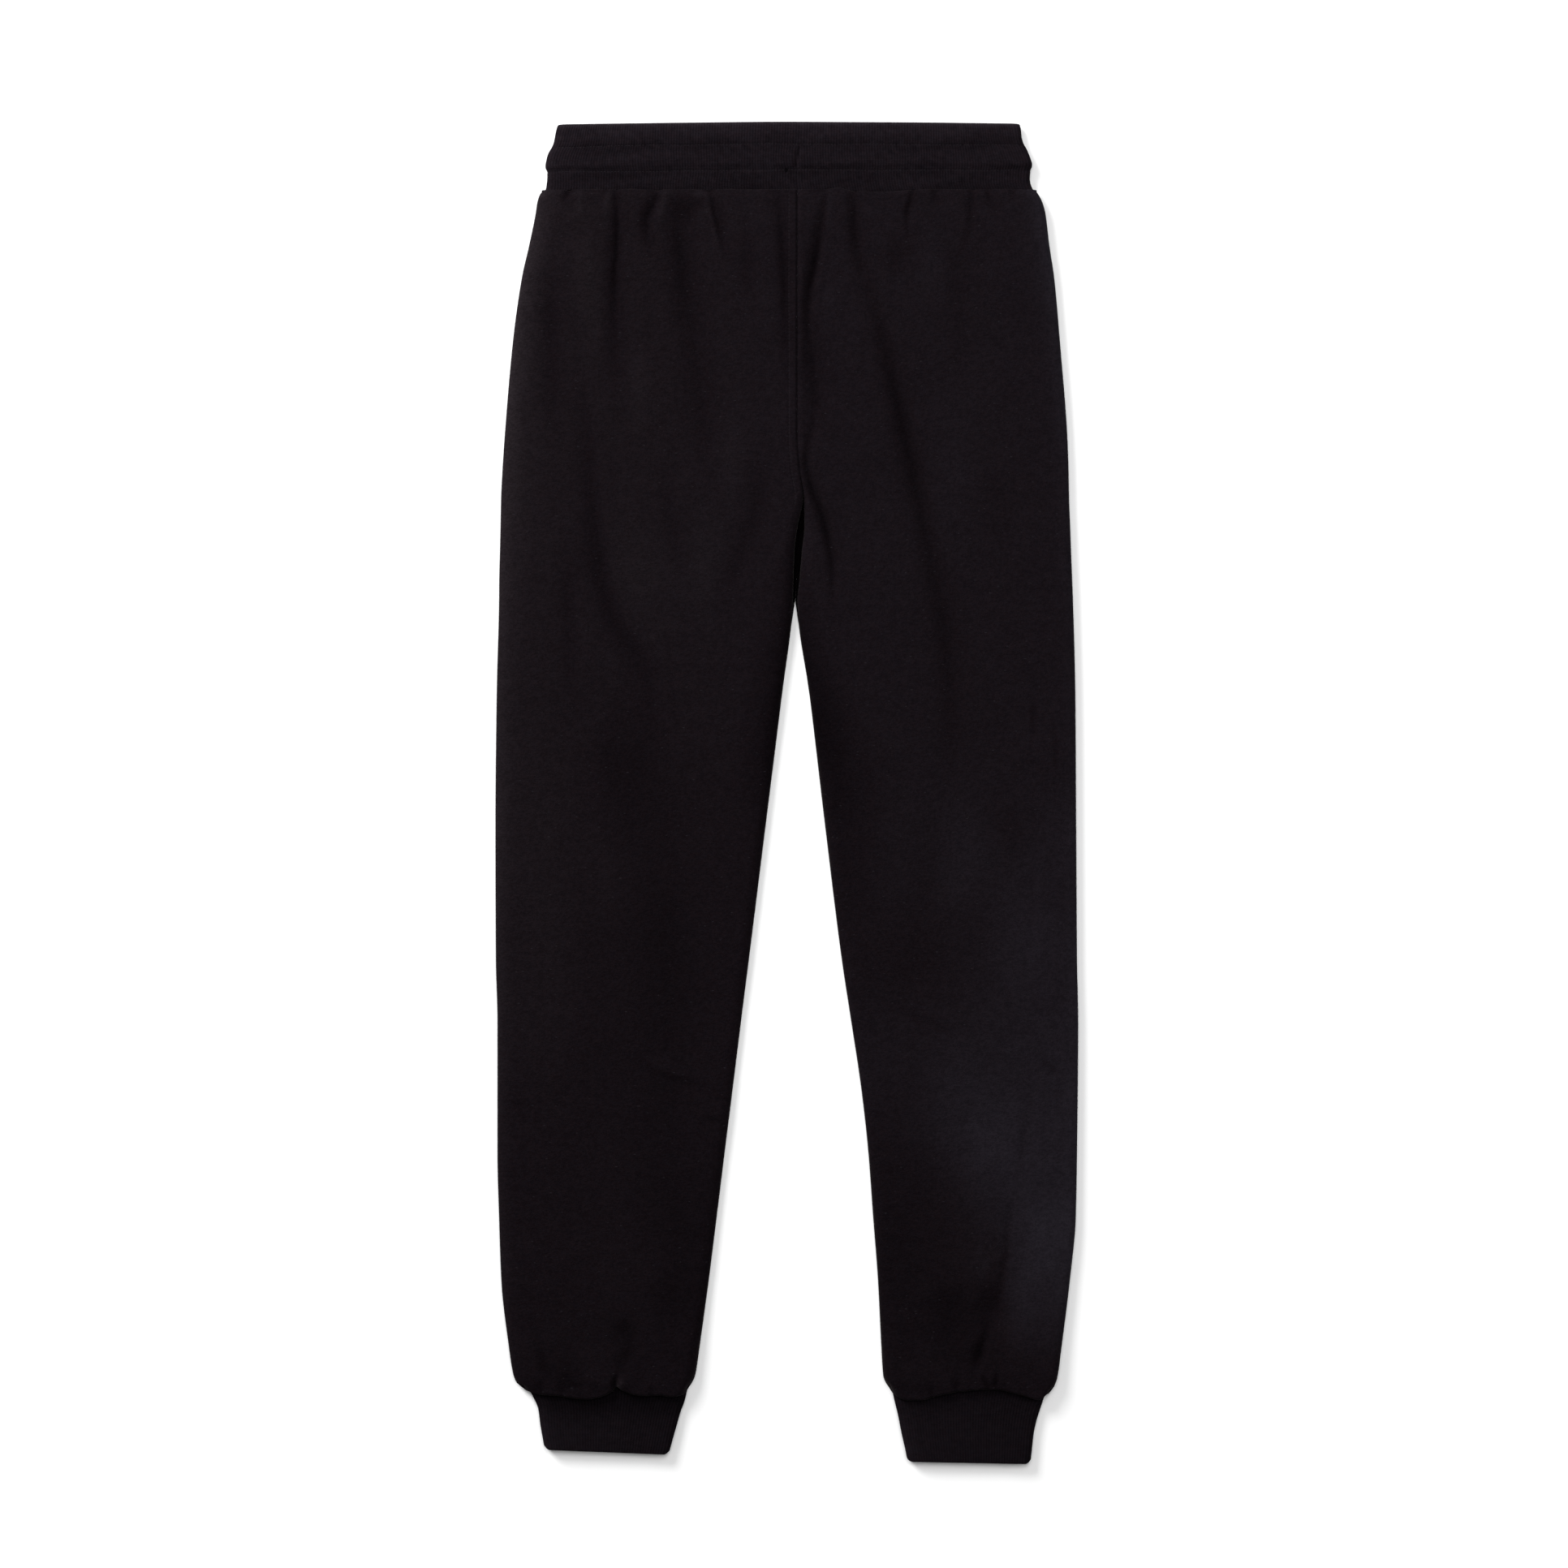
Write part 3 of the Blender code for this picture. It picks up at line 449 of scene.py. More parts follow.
UNDERSIDE_CREASES = (
    Fold(-0.5, 4, 0.0, ((-140, 50), (-138, 100))),
    Fold(-0.6, 4.4, 0.0, ((-96, 50), (-92, 120))),
    Fold(-0.5, 3.8, 0.0, ((-50, 50), (-47, 86))),
    Fold(-0.6, 4, 0.0, ((42, 50), (40, 112))),
    Fold(-0.5, 4, 0.0, ((88, 50), (92, 94))),
    Fold(-0.6, 4.4, 0.0, ((134, 50), (131, 128))),
    Fold(-0.4, 9, 0.5, ((-150, 300), (-132, 380), (-120, 470))),
    Fold(-0.4, 9, 0.5, ((148, 290), (136, 380), (128, 480))),
    Fold(-0.6, 3.8, 1.0, ((-150, 905), (-148, 947))),
    Fold(-0.5, 3.6, 1.0, ((-112, 915), (-114, 947))),
    Fold(-0.6, 3.8, 1.0, ((112, 900), (114, 947))),
    Fold(-0.5, 3.6, 1.0, ((158, 912), (156, 947))),
)


# --- curves, creases and meshes ------------------------------------------------------


class Curve:
    """A smooth curve through points that never overshoots them."""

    def __init__(self, places: Sequence[float], values: Sequence[float]) -> None:
        """Fit the curve.

        Args:
            places: Rising places of the points.
            values: The value at each place.
        """
        self.places = np.asarray(places, dtype=float)
        self.values = np.asarray(values, dtype=float)
        self.steps = np.diff(self.places)
        rises = np.diff(self.values) / self.steps
        self.slopes = np.concatenate(([rises[0]], np.zeros(len(rises) - 1), [rises[-1]]))
        same_way = rises[:-1] * rises[1:] > 0
        before, after = rises[:-1][same_way], rises[1:][same_way]
        self.slopes[1:-1][same_way] = 2.0 * before * after / (before + after)

    def at(self, where: np.ndarray | float) -> np.ndarray:
        """Read the curve.

        Args:
            where: Places to read at, held inside the curve's own range.

        Returns:
            The values there.
        """
        where = np.clip(where, self.places[0], self.places[-1])
        cell = np.clip(np.searchsorted(self.places, where) - 1, 0, len(self.steps) - 1)
        step = self.steps[cell]
        t = (where - self.places[cell]) / step
        start = (1 + 2 * t) * (1 - t) ** 2 * self.values[cell]
        start = start + t * (1 - t) ** 2 * step * self.slopes[cell]
        end = t * t * (3 - 2 * t) * self.values[cell + 1]
        return start + end + t * t * (t - 1) * step * self.slopes[cell + 1]


def curves(rows: Sequence[object], *parts: str) -> list[Curve]:
    """Curves of some columns of a table against its distances down."""
    downs = [row.down for row in rows]
    return [Curve(downs, [getattr(row, part) for row in rows]) for part in parts]


def smooth_step(value: np.ndarray | float) -> np.ndarray:
    """Ease a value from 0 to 1."""
    value = np.clip(value, 0.0, 1.0)
    return value * value * (3.0 - 2.0 * value)


class Creases:
    """Height that a set of folds adds to a surface, with painted shade in their troughs and painted
    highlight on their ridges.
    """

    SAMPLES = 48
    FAR = 5.0       # widths beyond which a fold adds nothing
    SHADE = 0.5     # how dark the painted shade is in a trough as wide as it is deep
    STEEPEST = 0.8  # depth in widths past which the painted shade gets no darker
    SKEW = 0.4      # how much narrower a leaning fold is on the side that it leans to
    SHARP = 1.5     # how quickly a fold rises out of its trough
    RIDGE = 1.7     # widths from the trough to the ridges beside it

    def __init__(self, folds: Sequence[Fold]) -> None:
        """Keep the folds with their sampled paths."""
        self.folds = [(fold, *self.sampled(fold)) for fold in folds]

    @classmethod
    def sampled(cls, fold: Fold) -> tuple[np.ndarray, np.ndarray]:
        """Follow a fold in even steps.

        Args:
            fold: The fold.

        Returns:
            Points along it, and its direction at each.
        """
        points = np.array(fold.path) / MM_A_METRE
        lengths = np.concatenate(([0.0], np.cumsum(np.hypot(*np.diff(points, axis=0).T))))
        at = np.linspace(0.0, lengths[-1], cls.SAMPLES)
        path = np.stack([Curve(lengths, points[:, axis]).at(at) for axis in (0, 1)], axis=1)
        along = np.gradient(path, axis=0)
        return path, along / np.linalg.norm(along, axis=1, keepdims=True)

    @staticmethod
    def strength(share: np.ndarray, peak: float) -> np.ndarray:
        """How deep a fold is along its length.

        Args:
            share: How far along the fold.
            peak: Where along it the fold is deepest.

        Returns:
            1 at the peak, down to 0 at the far ends.
        """
        rising = np.ones_like(share) if peak <= 0 else share / peak
        falling = np.ones_like(share) if peak >= 1 else (1 - share) / (1 - peak)
        return smooth_step(np.minimum(rising, falling))

    def at(self, x: np.ndarray, down: np.ndarray) -> tuple[np.ndarray, np.ndarray]:
        """What the folds add to a surface.

        Args:
            x: Places across, of any shape.
            down: Distances down, of the same shape.

        Returns:
            The height added at each place, and the painted light there: painted shade in troughs and
            painted highlight on ridges.
        """
        total, lift = np.zeros(x.shape), np.zeros(x.shape)
        for fold, path, along in self.folds:
            depth, width = fold.depth / MM_A_METRE, fold.width / MM_A_METRE
            far = width * self.FAR
            near = (x > path[:, 0].min() - far) & (x < path[:, 0].max() + far)
            near &= (down > path[:, 1].min() - far) & (down < path[:, 1].max() + far)
            if not near.any():
                continue
            gap_x = x[near][:, None] - path[:, 0]
            gap_down = down[near][:, None] - path[:, 1]
            nearest = (gap_x**2 + gap_down**2).argmin(axis=1)
            rows = np.arange(len(nearest))
            gap_x, gap_down = gap_x[rows, nearest], gap_down[rows, nearest]
            way_x, way_down = along[nearest].T
            step = np.linalg.norm(path[1] - path[0])
            share = nearest + (gap_x * way_x + gap_down * way_down) / step
            share = share / (self.SAMPLES - 1)
            u = (gap_x * way_down - gap_down * way_x) / width
            u = u / (1.0 - self.SKEW * fold.lean * np.sign(u))
            shape = -1.0 / np.cosh(np.clip(self.SHARP * u, -20, 20))
            strength = self.strength(share, fold.peak)
            steep = np.clip(depth / width, -self.STEEPEST, self.STEEPEST)
            # painted shade in a trough, painted highlight on a ridge, by how steep the fold is
            lift[near] += self.SHADE * steep * strength * shape
            if fold.shoulder:
                right = (1 + fold.lean) / 2 * np.exp(-((u - self.RIDGE) ** 2))
                left = (1 - fold.lean) / 2 * np.exp(-((u + self.RIDGE) ** 2))
                shape = shape + fold.shoulder * (left + right)
            total[near] += depth * strength * shape
        return total, lift


@dataclass(frozen=True)
class Ripple:
    """Low uneven swells of cloth that nobody pressed, as a sum of slanted waves."""

    height: float
    length: float
    seed: int
    waves: int = 9

    def at(self, x: np.ndarray, down: np.ndarray) -> np.ndarray:
        """Height of the swells.

        Args:
            x: Places across.
            down: Distances down, of the same shape.

        Returns:
            The height at each place.
        """
        rng = np.random.default_rng(self.seed)
        total = np.zeros(x.shape)
        for _ in range(self.waves):
            turn, phase = rng.uniform(0, 2 * math.pi, 2)
            pitch = self.length * rng.uniform(0.6, 1.6)
            along = (x * math.cos(turn) + down * math.sin(turn)) * 2 * math.pi / pitch
            total += np.sin(along + phase)
        return total * self.height / math.sqrt(self.waves)


class MeshMaker:
    """Collects grids of points and makes one mesh of them."""

    def __init__(self) -> None:
        """Start with no points and no faces."""
        self.points: list[np.ndarray] = []
        self.lifts: list[np.ndarray] = []
        self.faces: list[tuple[int, ...]] = []
        self.count = 0

    def grid(
        self, points: np.ndarray, closed: bool = False, lift: np.ndarray | float = 0.0
    ) -> np.ndarray:
        """Add a grid of points and its faces.

        Args:
            points: Rows x columns x 3.
            closed: Whether the last column joins the first.
            lift: Painted light at each point, painted shade below 0.

        Returns:
            The numbers of the points, with the first column repeated at the end of a
            closed grid.
        """
        rows, columns = points.shape[:2]
        numbers = np.arange(rows * columns).reshape(rows, columns) + self.count
        self.points.append(points.reshape(-1, 3))
        self.lifts.append(np.broadcast_to(lift, (rows, columns)).ravel())
        self.count += rows * columns
        if closed:
            numbers = np.concatenate((numbers, numbers[:, :1]), axis=1)
        corners = (numbers[:-1, :-1], numbers[:-1, 1:], numbers[1:, 1:], numbers[1:, :-1])
        self.faces.extend(np.stack([c.ravel() for c in corners], axis=1).tolist())
        return numbers

    def copy(self, points: np.ndarray, faces: Sequence[tuple[int, ...]]) -> None:
        """Add a loose shape.

        Args:
            points: Its points.
            faces: Its faces, as numbers of its own points.
        """
        self.points.append(points)
        self.lifts.append(np.zeros(len(points)))
        self.faces.extend(tuple(corner + self.count for corner in face) for face in faces)
        self.count += len(points)

    def zip(self, row_a: np.ndarray, row_b: np.ndarray) -> None:
        """Join two rows of points with triangles, in step along their lengths.

        Args:
            row_a: Numbers of the points in one row.
            row_b: Numbers of the points in the other.
        """
        a = b = 0
        last_a, last_b = len(row_a) - 1, len(row_b) - 1
        while a < last_a or b < last_b:
            if b == last_b or (a < last_a and (a + 1) / last_a <= (b + 1) / last_b):
                self.faces.append((int(row_a[a]), int(row_a[a + 1]), int(row_b[b])))
                a += 1
            else:
                self.faces.append((int(row_a[a]), int(row_b[b + 1]), int(row_b[b])))
                b += 1

    def rim(self, outer: np.ndarray, inner: np.ndarray, closed: bool) -> None:
        """Close the wall between two grids.

        Args:
            outer: Numbers of the outer grid's points.
            inner: Numbers of the inner grid's points.
            closed: Whether the grids run all round, so that only their ends are open.
        """
        for row in (0, -1):
            self.zip(outer[row], inner[row])
        if not closed:
            for column in (0, -1):
                self.zip(outer[:, column], inner[:, column])

    def make(self, name: str, sharp: float = 55.0) -> bpy.types.Object:
        """Make the object.

        Args:
            name: Its name.
            sharp: Angle in degrees past which an edge is shaded sharp.

        Returns:
            The object, linked to the scene, with its faces pointing out.
        """
        mesh = bpy.data.meshes.new(name)
        mesh.from_pydata(np.concatenate(self.points).tolist(), [], self.faces)
        shape = bmesh.new()
        shape.from_mesh(mesh)
        bmesh.ops.recalc_face_normals(shape, faces=shape.faces)
        shape.to_mesh(mesh)
        shape.free()
        lifts = mesh.attributes.new(PAINTED_SHADING, "FLOAT", "POINT")
        lifts.data.foreach_set("value", np.concatenate(self.lifts).astype(np.float32))
        mesh.shade_smooth()
        mesh.set_sharp_from_angle(angle=math.radians(sharp))
        made = bpy.data.objects.new(name, mesh)
        bpy.context.scene.collection.objects.link(made)
        return made


def place(x: np.ndarray, down: np.ndarray, z: np.ndarray) -> np.ndarray:
    """Points in the frame from places across, down and up."""
    return np.stack(np.broadcast_arrays(x, WAIST_Y - down, z), axis=-1)


def window_lowest(values: np.ndarray, step: int) -> np.ndarray:
    """Lowest value near every step-th row and column, ends included.

    Args:
        values: Rows x columns of values.
        step: How far apart the chosen ones are, and how far to look round each.

    Returns:
        The lowest values, with a row and a column for each chosen one.
    """
    for axis in (0, 1):
        picks = picked(values.shape[axis], step)
        spans = [slice(max(p - step, 0), p + step + 1) for p in picks]
        lows = [values.take(range(*s.indices(values.shape[axis])), axis).min(axis) for s in spans]
        values = np.stack(lows, axis=axis)
    return values


def picked(count: int, step: int) -> np.ndarray:
    """Every step-th number below count, and the last."""
    return np.unique(np.append(np.arange(0, count, step), count - 1))


# --- shader helpers ------------------------------------------------------------------


class Value:
    """A number inside a shader, on which arithmetic adds Math nodes."""

    def __init__(self, shader: "Shader", socket: bpy.types.NodeSocket) -> None:
        """Wrap a node's output socket."""
        self.shader = shader
        self.socket = socket

    def maths(self, operation: str, *others: "Value | float", first: bool = True) -> "Value":
        """Add a Math node.

        Args:
            operation: The node's operation.
            others: The other numbers it takes.
            first: Whether this value comes before the others.

        Returns:
            The node's result.
        """
        numbers = (self, *others) if first else (*others, self)
        return self.shader.node("ShaderNodeMath", {"operation": operation}, dict(enumerate(numbers)))

    def __add__(self, other: "Value | float") -> "Value":
        """Sum."""
        return self.maths("ADD", other)

    __radd__ = __add__

    def __mul__(self, other: "Value | float") -> "Value":
        """Product."""
        return self.maths("MULTIPLY", other)

    __rmul__ = __mul__

    def __sub__(self, other: "Value | float") -> "Value":
        """Difference."""
        return self.maths("SUBTRACT", other)

    def __rsub__(self, other: "Value | float") -> "Value":
        """Difference with this value taken away."""
        return self.maths("SUBTRACT", other, first=False)

    def clamped(self) -> "Value":
        """Held between 0 and 1."""
        return self.maths("MAXIMUM", 0.0).maths("MINIMUM", 1.0)


class Shader:
    """Builds one material out of nodes."""

    FUZZ_ROUGHNESS = 0.35
    FUZZ_TINT = (1.0, 0.90, 0.88, 1.0)

    def __init__(self, name: str) -> None:
        """Start a material with a Principled shader.

        Args:
            name: The material's name.
        """
        self.material = bpy.data.materials.new(name)
        self.material.use_nodes = True
        self.tree = self.material.node_tree
        self.principled = self.tree.nodes["Principled BSDF"]
        self.coordinates = self.tree.nodes.new("ShaderNodeTexCoord").outputs["Object"]

    def node(
        self,
        kind: str,
        settings: Mapping[str, object],
        inputs: Mapping[int | str, object],
        output: int | str = 0,
    ) -> Value:
        """Add a node.

        Args:
            kind: Its type.
            settings: Its properties, set before the sockets.
            inputs: A value, Value or socket for each input socket.
            output: Which output to return.

        Returns:
            The chosen output.
        """
        made = self.tree.nodes.new(kind)
        for name, setting in settings.items():
            setattr(made, name, setting)
        for name, given in inputs.items():
            self.plug(made.inputs[name], given)
        return Value(self, made.outputs[output])

    def plug(self, socket: bpy.types.NodeSocket, given: object) -> None:
        """Set an input socket to a value, or link it.

        Args:
            socket: The input socket.
            given: A plain value, or the Value or output socket to link.
        """
        if isinstance(given, Value):
            given = given.socket
        if isinstance(given, bpy.types.NodeSocket):
            self.tree.links.new(given, socket)
        else:
            socket.default_value = given

    def stretched(self, scale: tuple[float, float, float], turn: float = 0.0) -> Value:
        """Object coordinates, stretched and turned about Z."""
        inputs = {"Vector": self.coordinates, "Scale": scale, "Rotation": (0.0, 0.0, turn)}
        return self.node("ShaderNodeMapping", {}, inputs)

    def noise(self, scale: float, detail: float = 2.0, vector: Value | None = None) -> Value:
        """Noise from 0 to 1, with scale in cells to the metre."""
        inputs = {"Vector": vector or self.coordinates, "Scale": scale, "Detail": detail}
        return self.node("ShaderNodeTexNoise", {}, inputs, "Fac")

    def lift(self) -> Value:
        """Painted light and shade on the piece, as its vertices say."""
        settings = {"attribute_type": "GEOMETRY", "attribute_name": PAINTED_SHADING}
        return self.node("ShaderNodeAttribute", settings, {}, "Fac")

    def lifted(self, lift: Value, colour: Value, lighter: object) -> Value:
        """Paint shade into a colour where the lift is below 0, and paint light into it where the lift is
        above 0.
        """
        colour = self.blend((lift * -1.0).clamped(), colour, (0.0, 0.0, 0.0, 1.0))
        return self.blend(lift.clamped(), colour, lighter)

    def ramp(self, value: Value, low: float, high: float) -> Value:
        """Spread a value from low..high to 0..1."""
        inputs = {"Value": value, "From Min": low, "From Max": high}
        return self.node("ShaderNodeMapRange", {"interpolation_type": "SMOOTHSTEP"}, inputs)

    def blend(self, share: Value, first: object, second: object) -> Value:
        """Mix two colours."""
        settings = {"data_type": "RGBA"}
        return self.node("ShaderNodeMix", settings, {0: share, 6: first, 7: second}, 2)

    def times(self, first: object, second: object) -> Value:
        """Multiply two colours."""
        settings = {"data_type": "RGBA", "blend_type": "MULTIPLY"}
        return self.node("ShaderNodeMix", settings, {0: 1.0, 6: first, 7: second}, 2)

    def vector(self, operation: str, first: object, second: object) -> Value:
        """Add a Vector Math node."""
        inputs = {0: first, 1: second}
        return self.node("ShaderNodeVectorMath", {"operation": operation}, inputs, "Vector")

    def soften(self, roughness: float, sheen: float) -> None:
        """Set the shader to matt cloth with fuzz that catches light at grazing angles.

        Args:
            roughness: The cloth's roughness.
            sheen: How strong the fuzz is.
        """
        self.principled.inputs["Roughness"].default_value = roughness
        self.principled.inputs["Specular IOR Level"].default_value = 0.0
        self.principled.inputs["Sheen Weight"].default_value = sheen
        self.principled.inputs["Sheen Roughness"].default_value = self.FUZZ_ROUGHNESS
        self.principled.inputs["Sheen Tint"].default_value = self.FUZZ_TINT

    def bump(self, height: Value, distance: float, strength: float) -> Value:
        """A Bump node for the shader's Normal."""
        inputs = {"Height": height, "Distance": distance, "Strength": strength}
        return self.node("ShaderNodeBump", {}, inputs)


def rgba(colour: tuple[float, float, float], gain: float = 1.0) -> tuple[float, ...]:
    """A colour with full alpha, scaled by a gain."""
    return (*(channel * gain for channel in colour), 1.0)


@dataclass(frozen=True)
class Fleece:
    """Brushed black fleece jersey: soft pile, short fibres lying across, a little lint, with painted
    light and shade.
    """

    warm: tuple[float, float, float] = (0.0052, 0.0035, 0.0044)
    cool: tuple[float, float, float] = (0.0049, 0.0036, 0.0047)
    # colours of the painted highlight, warmer towards -X and cooler towards +X
    painted_highlight_warm: tuple[float, float, float] = (0.0150, 0.0120, 0.0137)
    painted_highlight_cool: tuple[float, float, float] = (0.0124, 0.0106, 0.0140)
    lint: tuple[float, float, float] = (0.014, 0.0125, 0.015)
    roughness: float = 0.95
    sheen: float = 0.040
    fibre_scale: float = 430.0
    pile_scale: float = 1300.0

    def material(self) -> bpy.types.Material:
        """Build the material.

        Returns:
            The material.
        """
        shader = Shader("black_fleece")
        lying = shader.stretched((1.0, 1.25, 1.0))
        fibres = shader.noise(self.fibre_scale, 4.0, lying)
        pile = shader.noise(self.pile_scale, 3.0)
        tufts = shader.noise(150.0, 3.0, lying)
        hue = shader.noise(260.0, 3.0, shader.stretched((1.0, 1.6, 1.0), 0.3))
        colour = shader.blend(shader.ramp(hue, 0.38, 0.62), rgba(self.cool), rgba(self.warm))
        tone = shader.ramp(fibres * 0.8 + pile * 0.8 + tufts * 0.4, 0.74, 1.26)
        dark = shader.blend(tone, rgba((0.77, 0.77, 0.77)), rgba((1.24, 1.24, 1.24)))
        colour = shader.times(colour, dark)
        # painted light and shade from the vertices, broken up by clouds: painted shade towards black,
        # painted highlight towards the lighter colours
        cloud = shader.noise(16.0, 4.0) * 0.9 + shader.noise(110.0, 3.0) * 0.5
        lift = shader.lift() * (cloud + 0.3)
        place_x = shader.node("ShaderNodeSeparateXYZ", {}, {0: shader.coordinates}, 0)
        painted_highlight = shader.ramp(place_x, -0.16, 0.10)
        painted_highlight = shader.blend(painted_highlight, rgba(self.painted_highlight_warm), rgba(self.painted_highlight_cool))
        colour = shader.lifted(lift, colour, shader.times(dark, painted_highlight))
        colour = shader.blend(self.specks(shader), colour, rgba(self.lint))
        shader.plug(shader.principled.inputs["Base Color"], colour)
        height = fibres * 0.8 + pile * 0.6 + tufts * 0.5
        shader.plug(shader.principled.inputs["Normal"], shader.bump(height, 0.0010, 0.6))
        shader.soften(self.roughness, self.sheen)
        return shader.material

    def specks(self, shader: Shader) -> Value:
        """Sparse short fibres of lint, lying two ways.

        Args:
            shader: The cloth's shader.

        Returns:
            1 on a fibre and 0 off it.
        """
        found = None
        for turn, cells, seed in ((0.5, 74.0, 0.0), (-0.9, 61.0, 5.0)):
            lying = shader.stretched((1.0, 3.4, 0.0), turn)
            inputs = {"Vector": shader.vector("ADD", lying, (seed, seed, 0.0)), "Scale": cells}
            settings = {"voronoi_dimensions": "2D"}
            near = shader.node("ShaderNodeTexVoronoi", settings, inputs, "Distance")
            tint = shader.node("ShaderNodeTexVoronoi", settings, inputs, "Color")
            pick = shader.node("ShaderNodeSeparateColor", {}, {0: tint}, 0)
            speck = (1.0 - shader.ramp(near, 0.020, 0.075)) * shader.ramp(pick, 0.84, 1.0)
            found = speck if found is None else found + speck
        return found.clamped()


@dataclass(frozen=True)
class RibKnit:
    """Fine black rib knit: smooth wales with small stitches along them."""

    warm: tuple[float, float, float] = (0.0077, 0.0055, 0.0070)
    cool: tuple[float, float, float] = (0.0072, 0.0056, 0.0073)
    # colour of the painted highlight
    painted_highlight: tuple[float, float, float] = (0.0160, 0.0130, 0.0158)
    roughness: float = 0.88
    sheen: float = 0.010
    stitch_pitch: float = 0.0012

    def material(self) -> bpy.types.Material:
        """Build the material.

        Returns:
            The material.
        """
        shader = Shader("black_rib_knit")
        inputs = {
            "Vector": shader.coordinates, "Scale": math.pi / 10.0 / self.stitch_pitch,
            "Distortion": 1.2, "Detail Scale": 400.0,
        }
        settings = {"wave_type": "BANDS", "bands_direction": "Y"}
        rows = shader.node("ShaderNodeTexWave", settings, inputs, "Fac")
        yarn = shader.noise(1200.0, 3.0)
        clouds = shader.noise(200.0, 3.0, shader.stretched((1.0, 2.0, 1.0)))
        hue = shader.noise(300.0, 2.0)
        colour = shader.blend(shader.ramp(hue, 0.38, 0.62), rgba(self.cool), rgba(self.warm))
        tone = shader.ramp(yarn * 0.9 + clouds * 0.6 + rows * 0.12, 0.50, 1.12)
        dark = shader.blend(tone, rgba((0.72, 0.72, 0.72)), rgba((1.30, 1.30, 1.30)))
        colour = shader.times(colour, dark)
        # painted light and shade from the vertices
        colour = shader.lifted(shader.lift(), colour, shader.times(dark, rgba(self.painted_highlight)))
        shader.plug(shader.principled.inputs["Base Color"], colour)
        height = rows * 0.3 + yarn * 0.9
        shader.plug(shader.principled.inputs["Normal"], shader.bump(height, 0.0003, 0.6))
        shader.soften(self.roughness, self.sheen)
        return shader.material


@dataclass(frozen=True)
class Thread:
    """Black polyester sewing thread with a slight lustre."""

    name: str = "black_thread"
    colour: tuple[float, float, float] = (0.0145, 0.0124, 0.0148)
    roughness: float = 0.60

    def material(self) -> bpy.types.Material:
        """Build the material.

        Returns:
            The material.
        """
        shader = Shader(self.name)
        ply = shader.noise(4200.0, 2.0)
        colour = shader.blend(ply, rgba(self.colour, 0.6), rgba(self.colour, 1.5))
        shader.plug(shader.principled.inputs["Base Color"], colour)
        shader.plug(shader.principled.inputs["Normal"], shader.bump(ply, 0.0001, 0.5))
        shader.principled.inputs["Roughness"].default_value = self.roughness
        shader.principled.inputs["Specular IOR Level"].default_value = 0.08
        return shader.material


@dataclass(frozen=True)
class PaleFloor:
    """Plain matt white studio floor."""

    colour: tuple[float, float, float] = (0.90, 0.90, 0.90)

    def material(self) -> bpy.types.Material:
        """Build the material.

        Returns:
            The material.
        """
        shader = Shader("pale_floor")
        mottle = shader.noise(3.0, 2.0)
        colour = shader.blend(mottle, rgba(self.colour), rgba(self.colour, 1.01))
        shader.plug(shader.principled.inputs["Base Color"], colour)
        shader.principled.inputs["Roughness"].default_value = 1.0
        shader.principled.inputs["Specular IOR Level"].default_value = 0.0
        return shader.material


def dressed(
    piece: bpy.types.Object, material: bpy.types.Material, node: str | None = None
) -> None:
    """Give a piece its material and body, and hide the node that it stands for.

    Args:
        piece: The piece.
        material: Its material.
        node: The node that it replaces, if any.
    """
    piece.data.materials.clear()
    piece.data.materials.append(material)
    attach(piece, ROOT)
    if node is not None:
        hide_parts(node)


# --- panels --------------------------------------------------------------------------


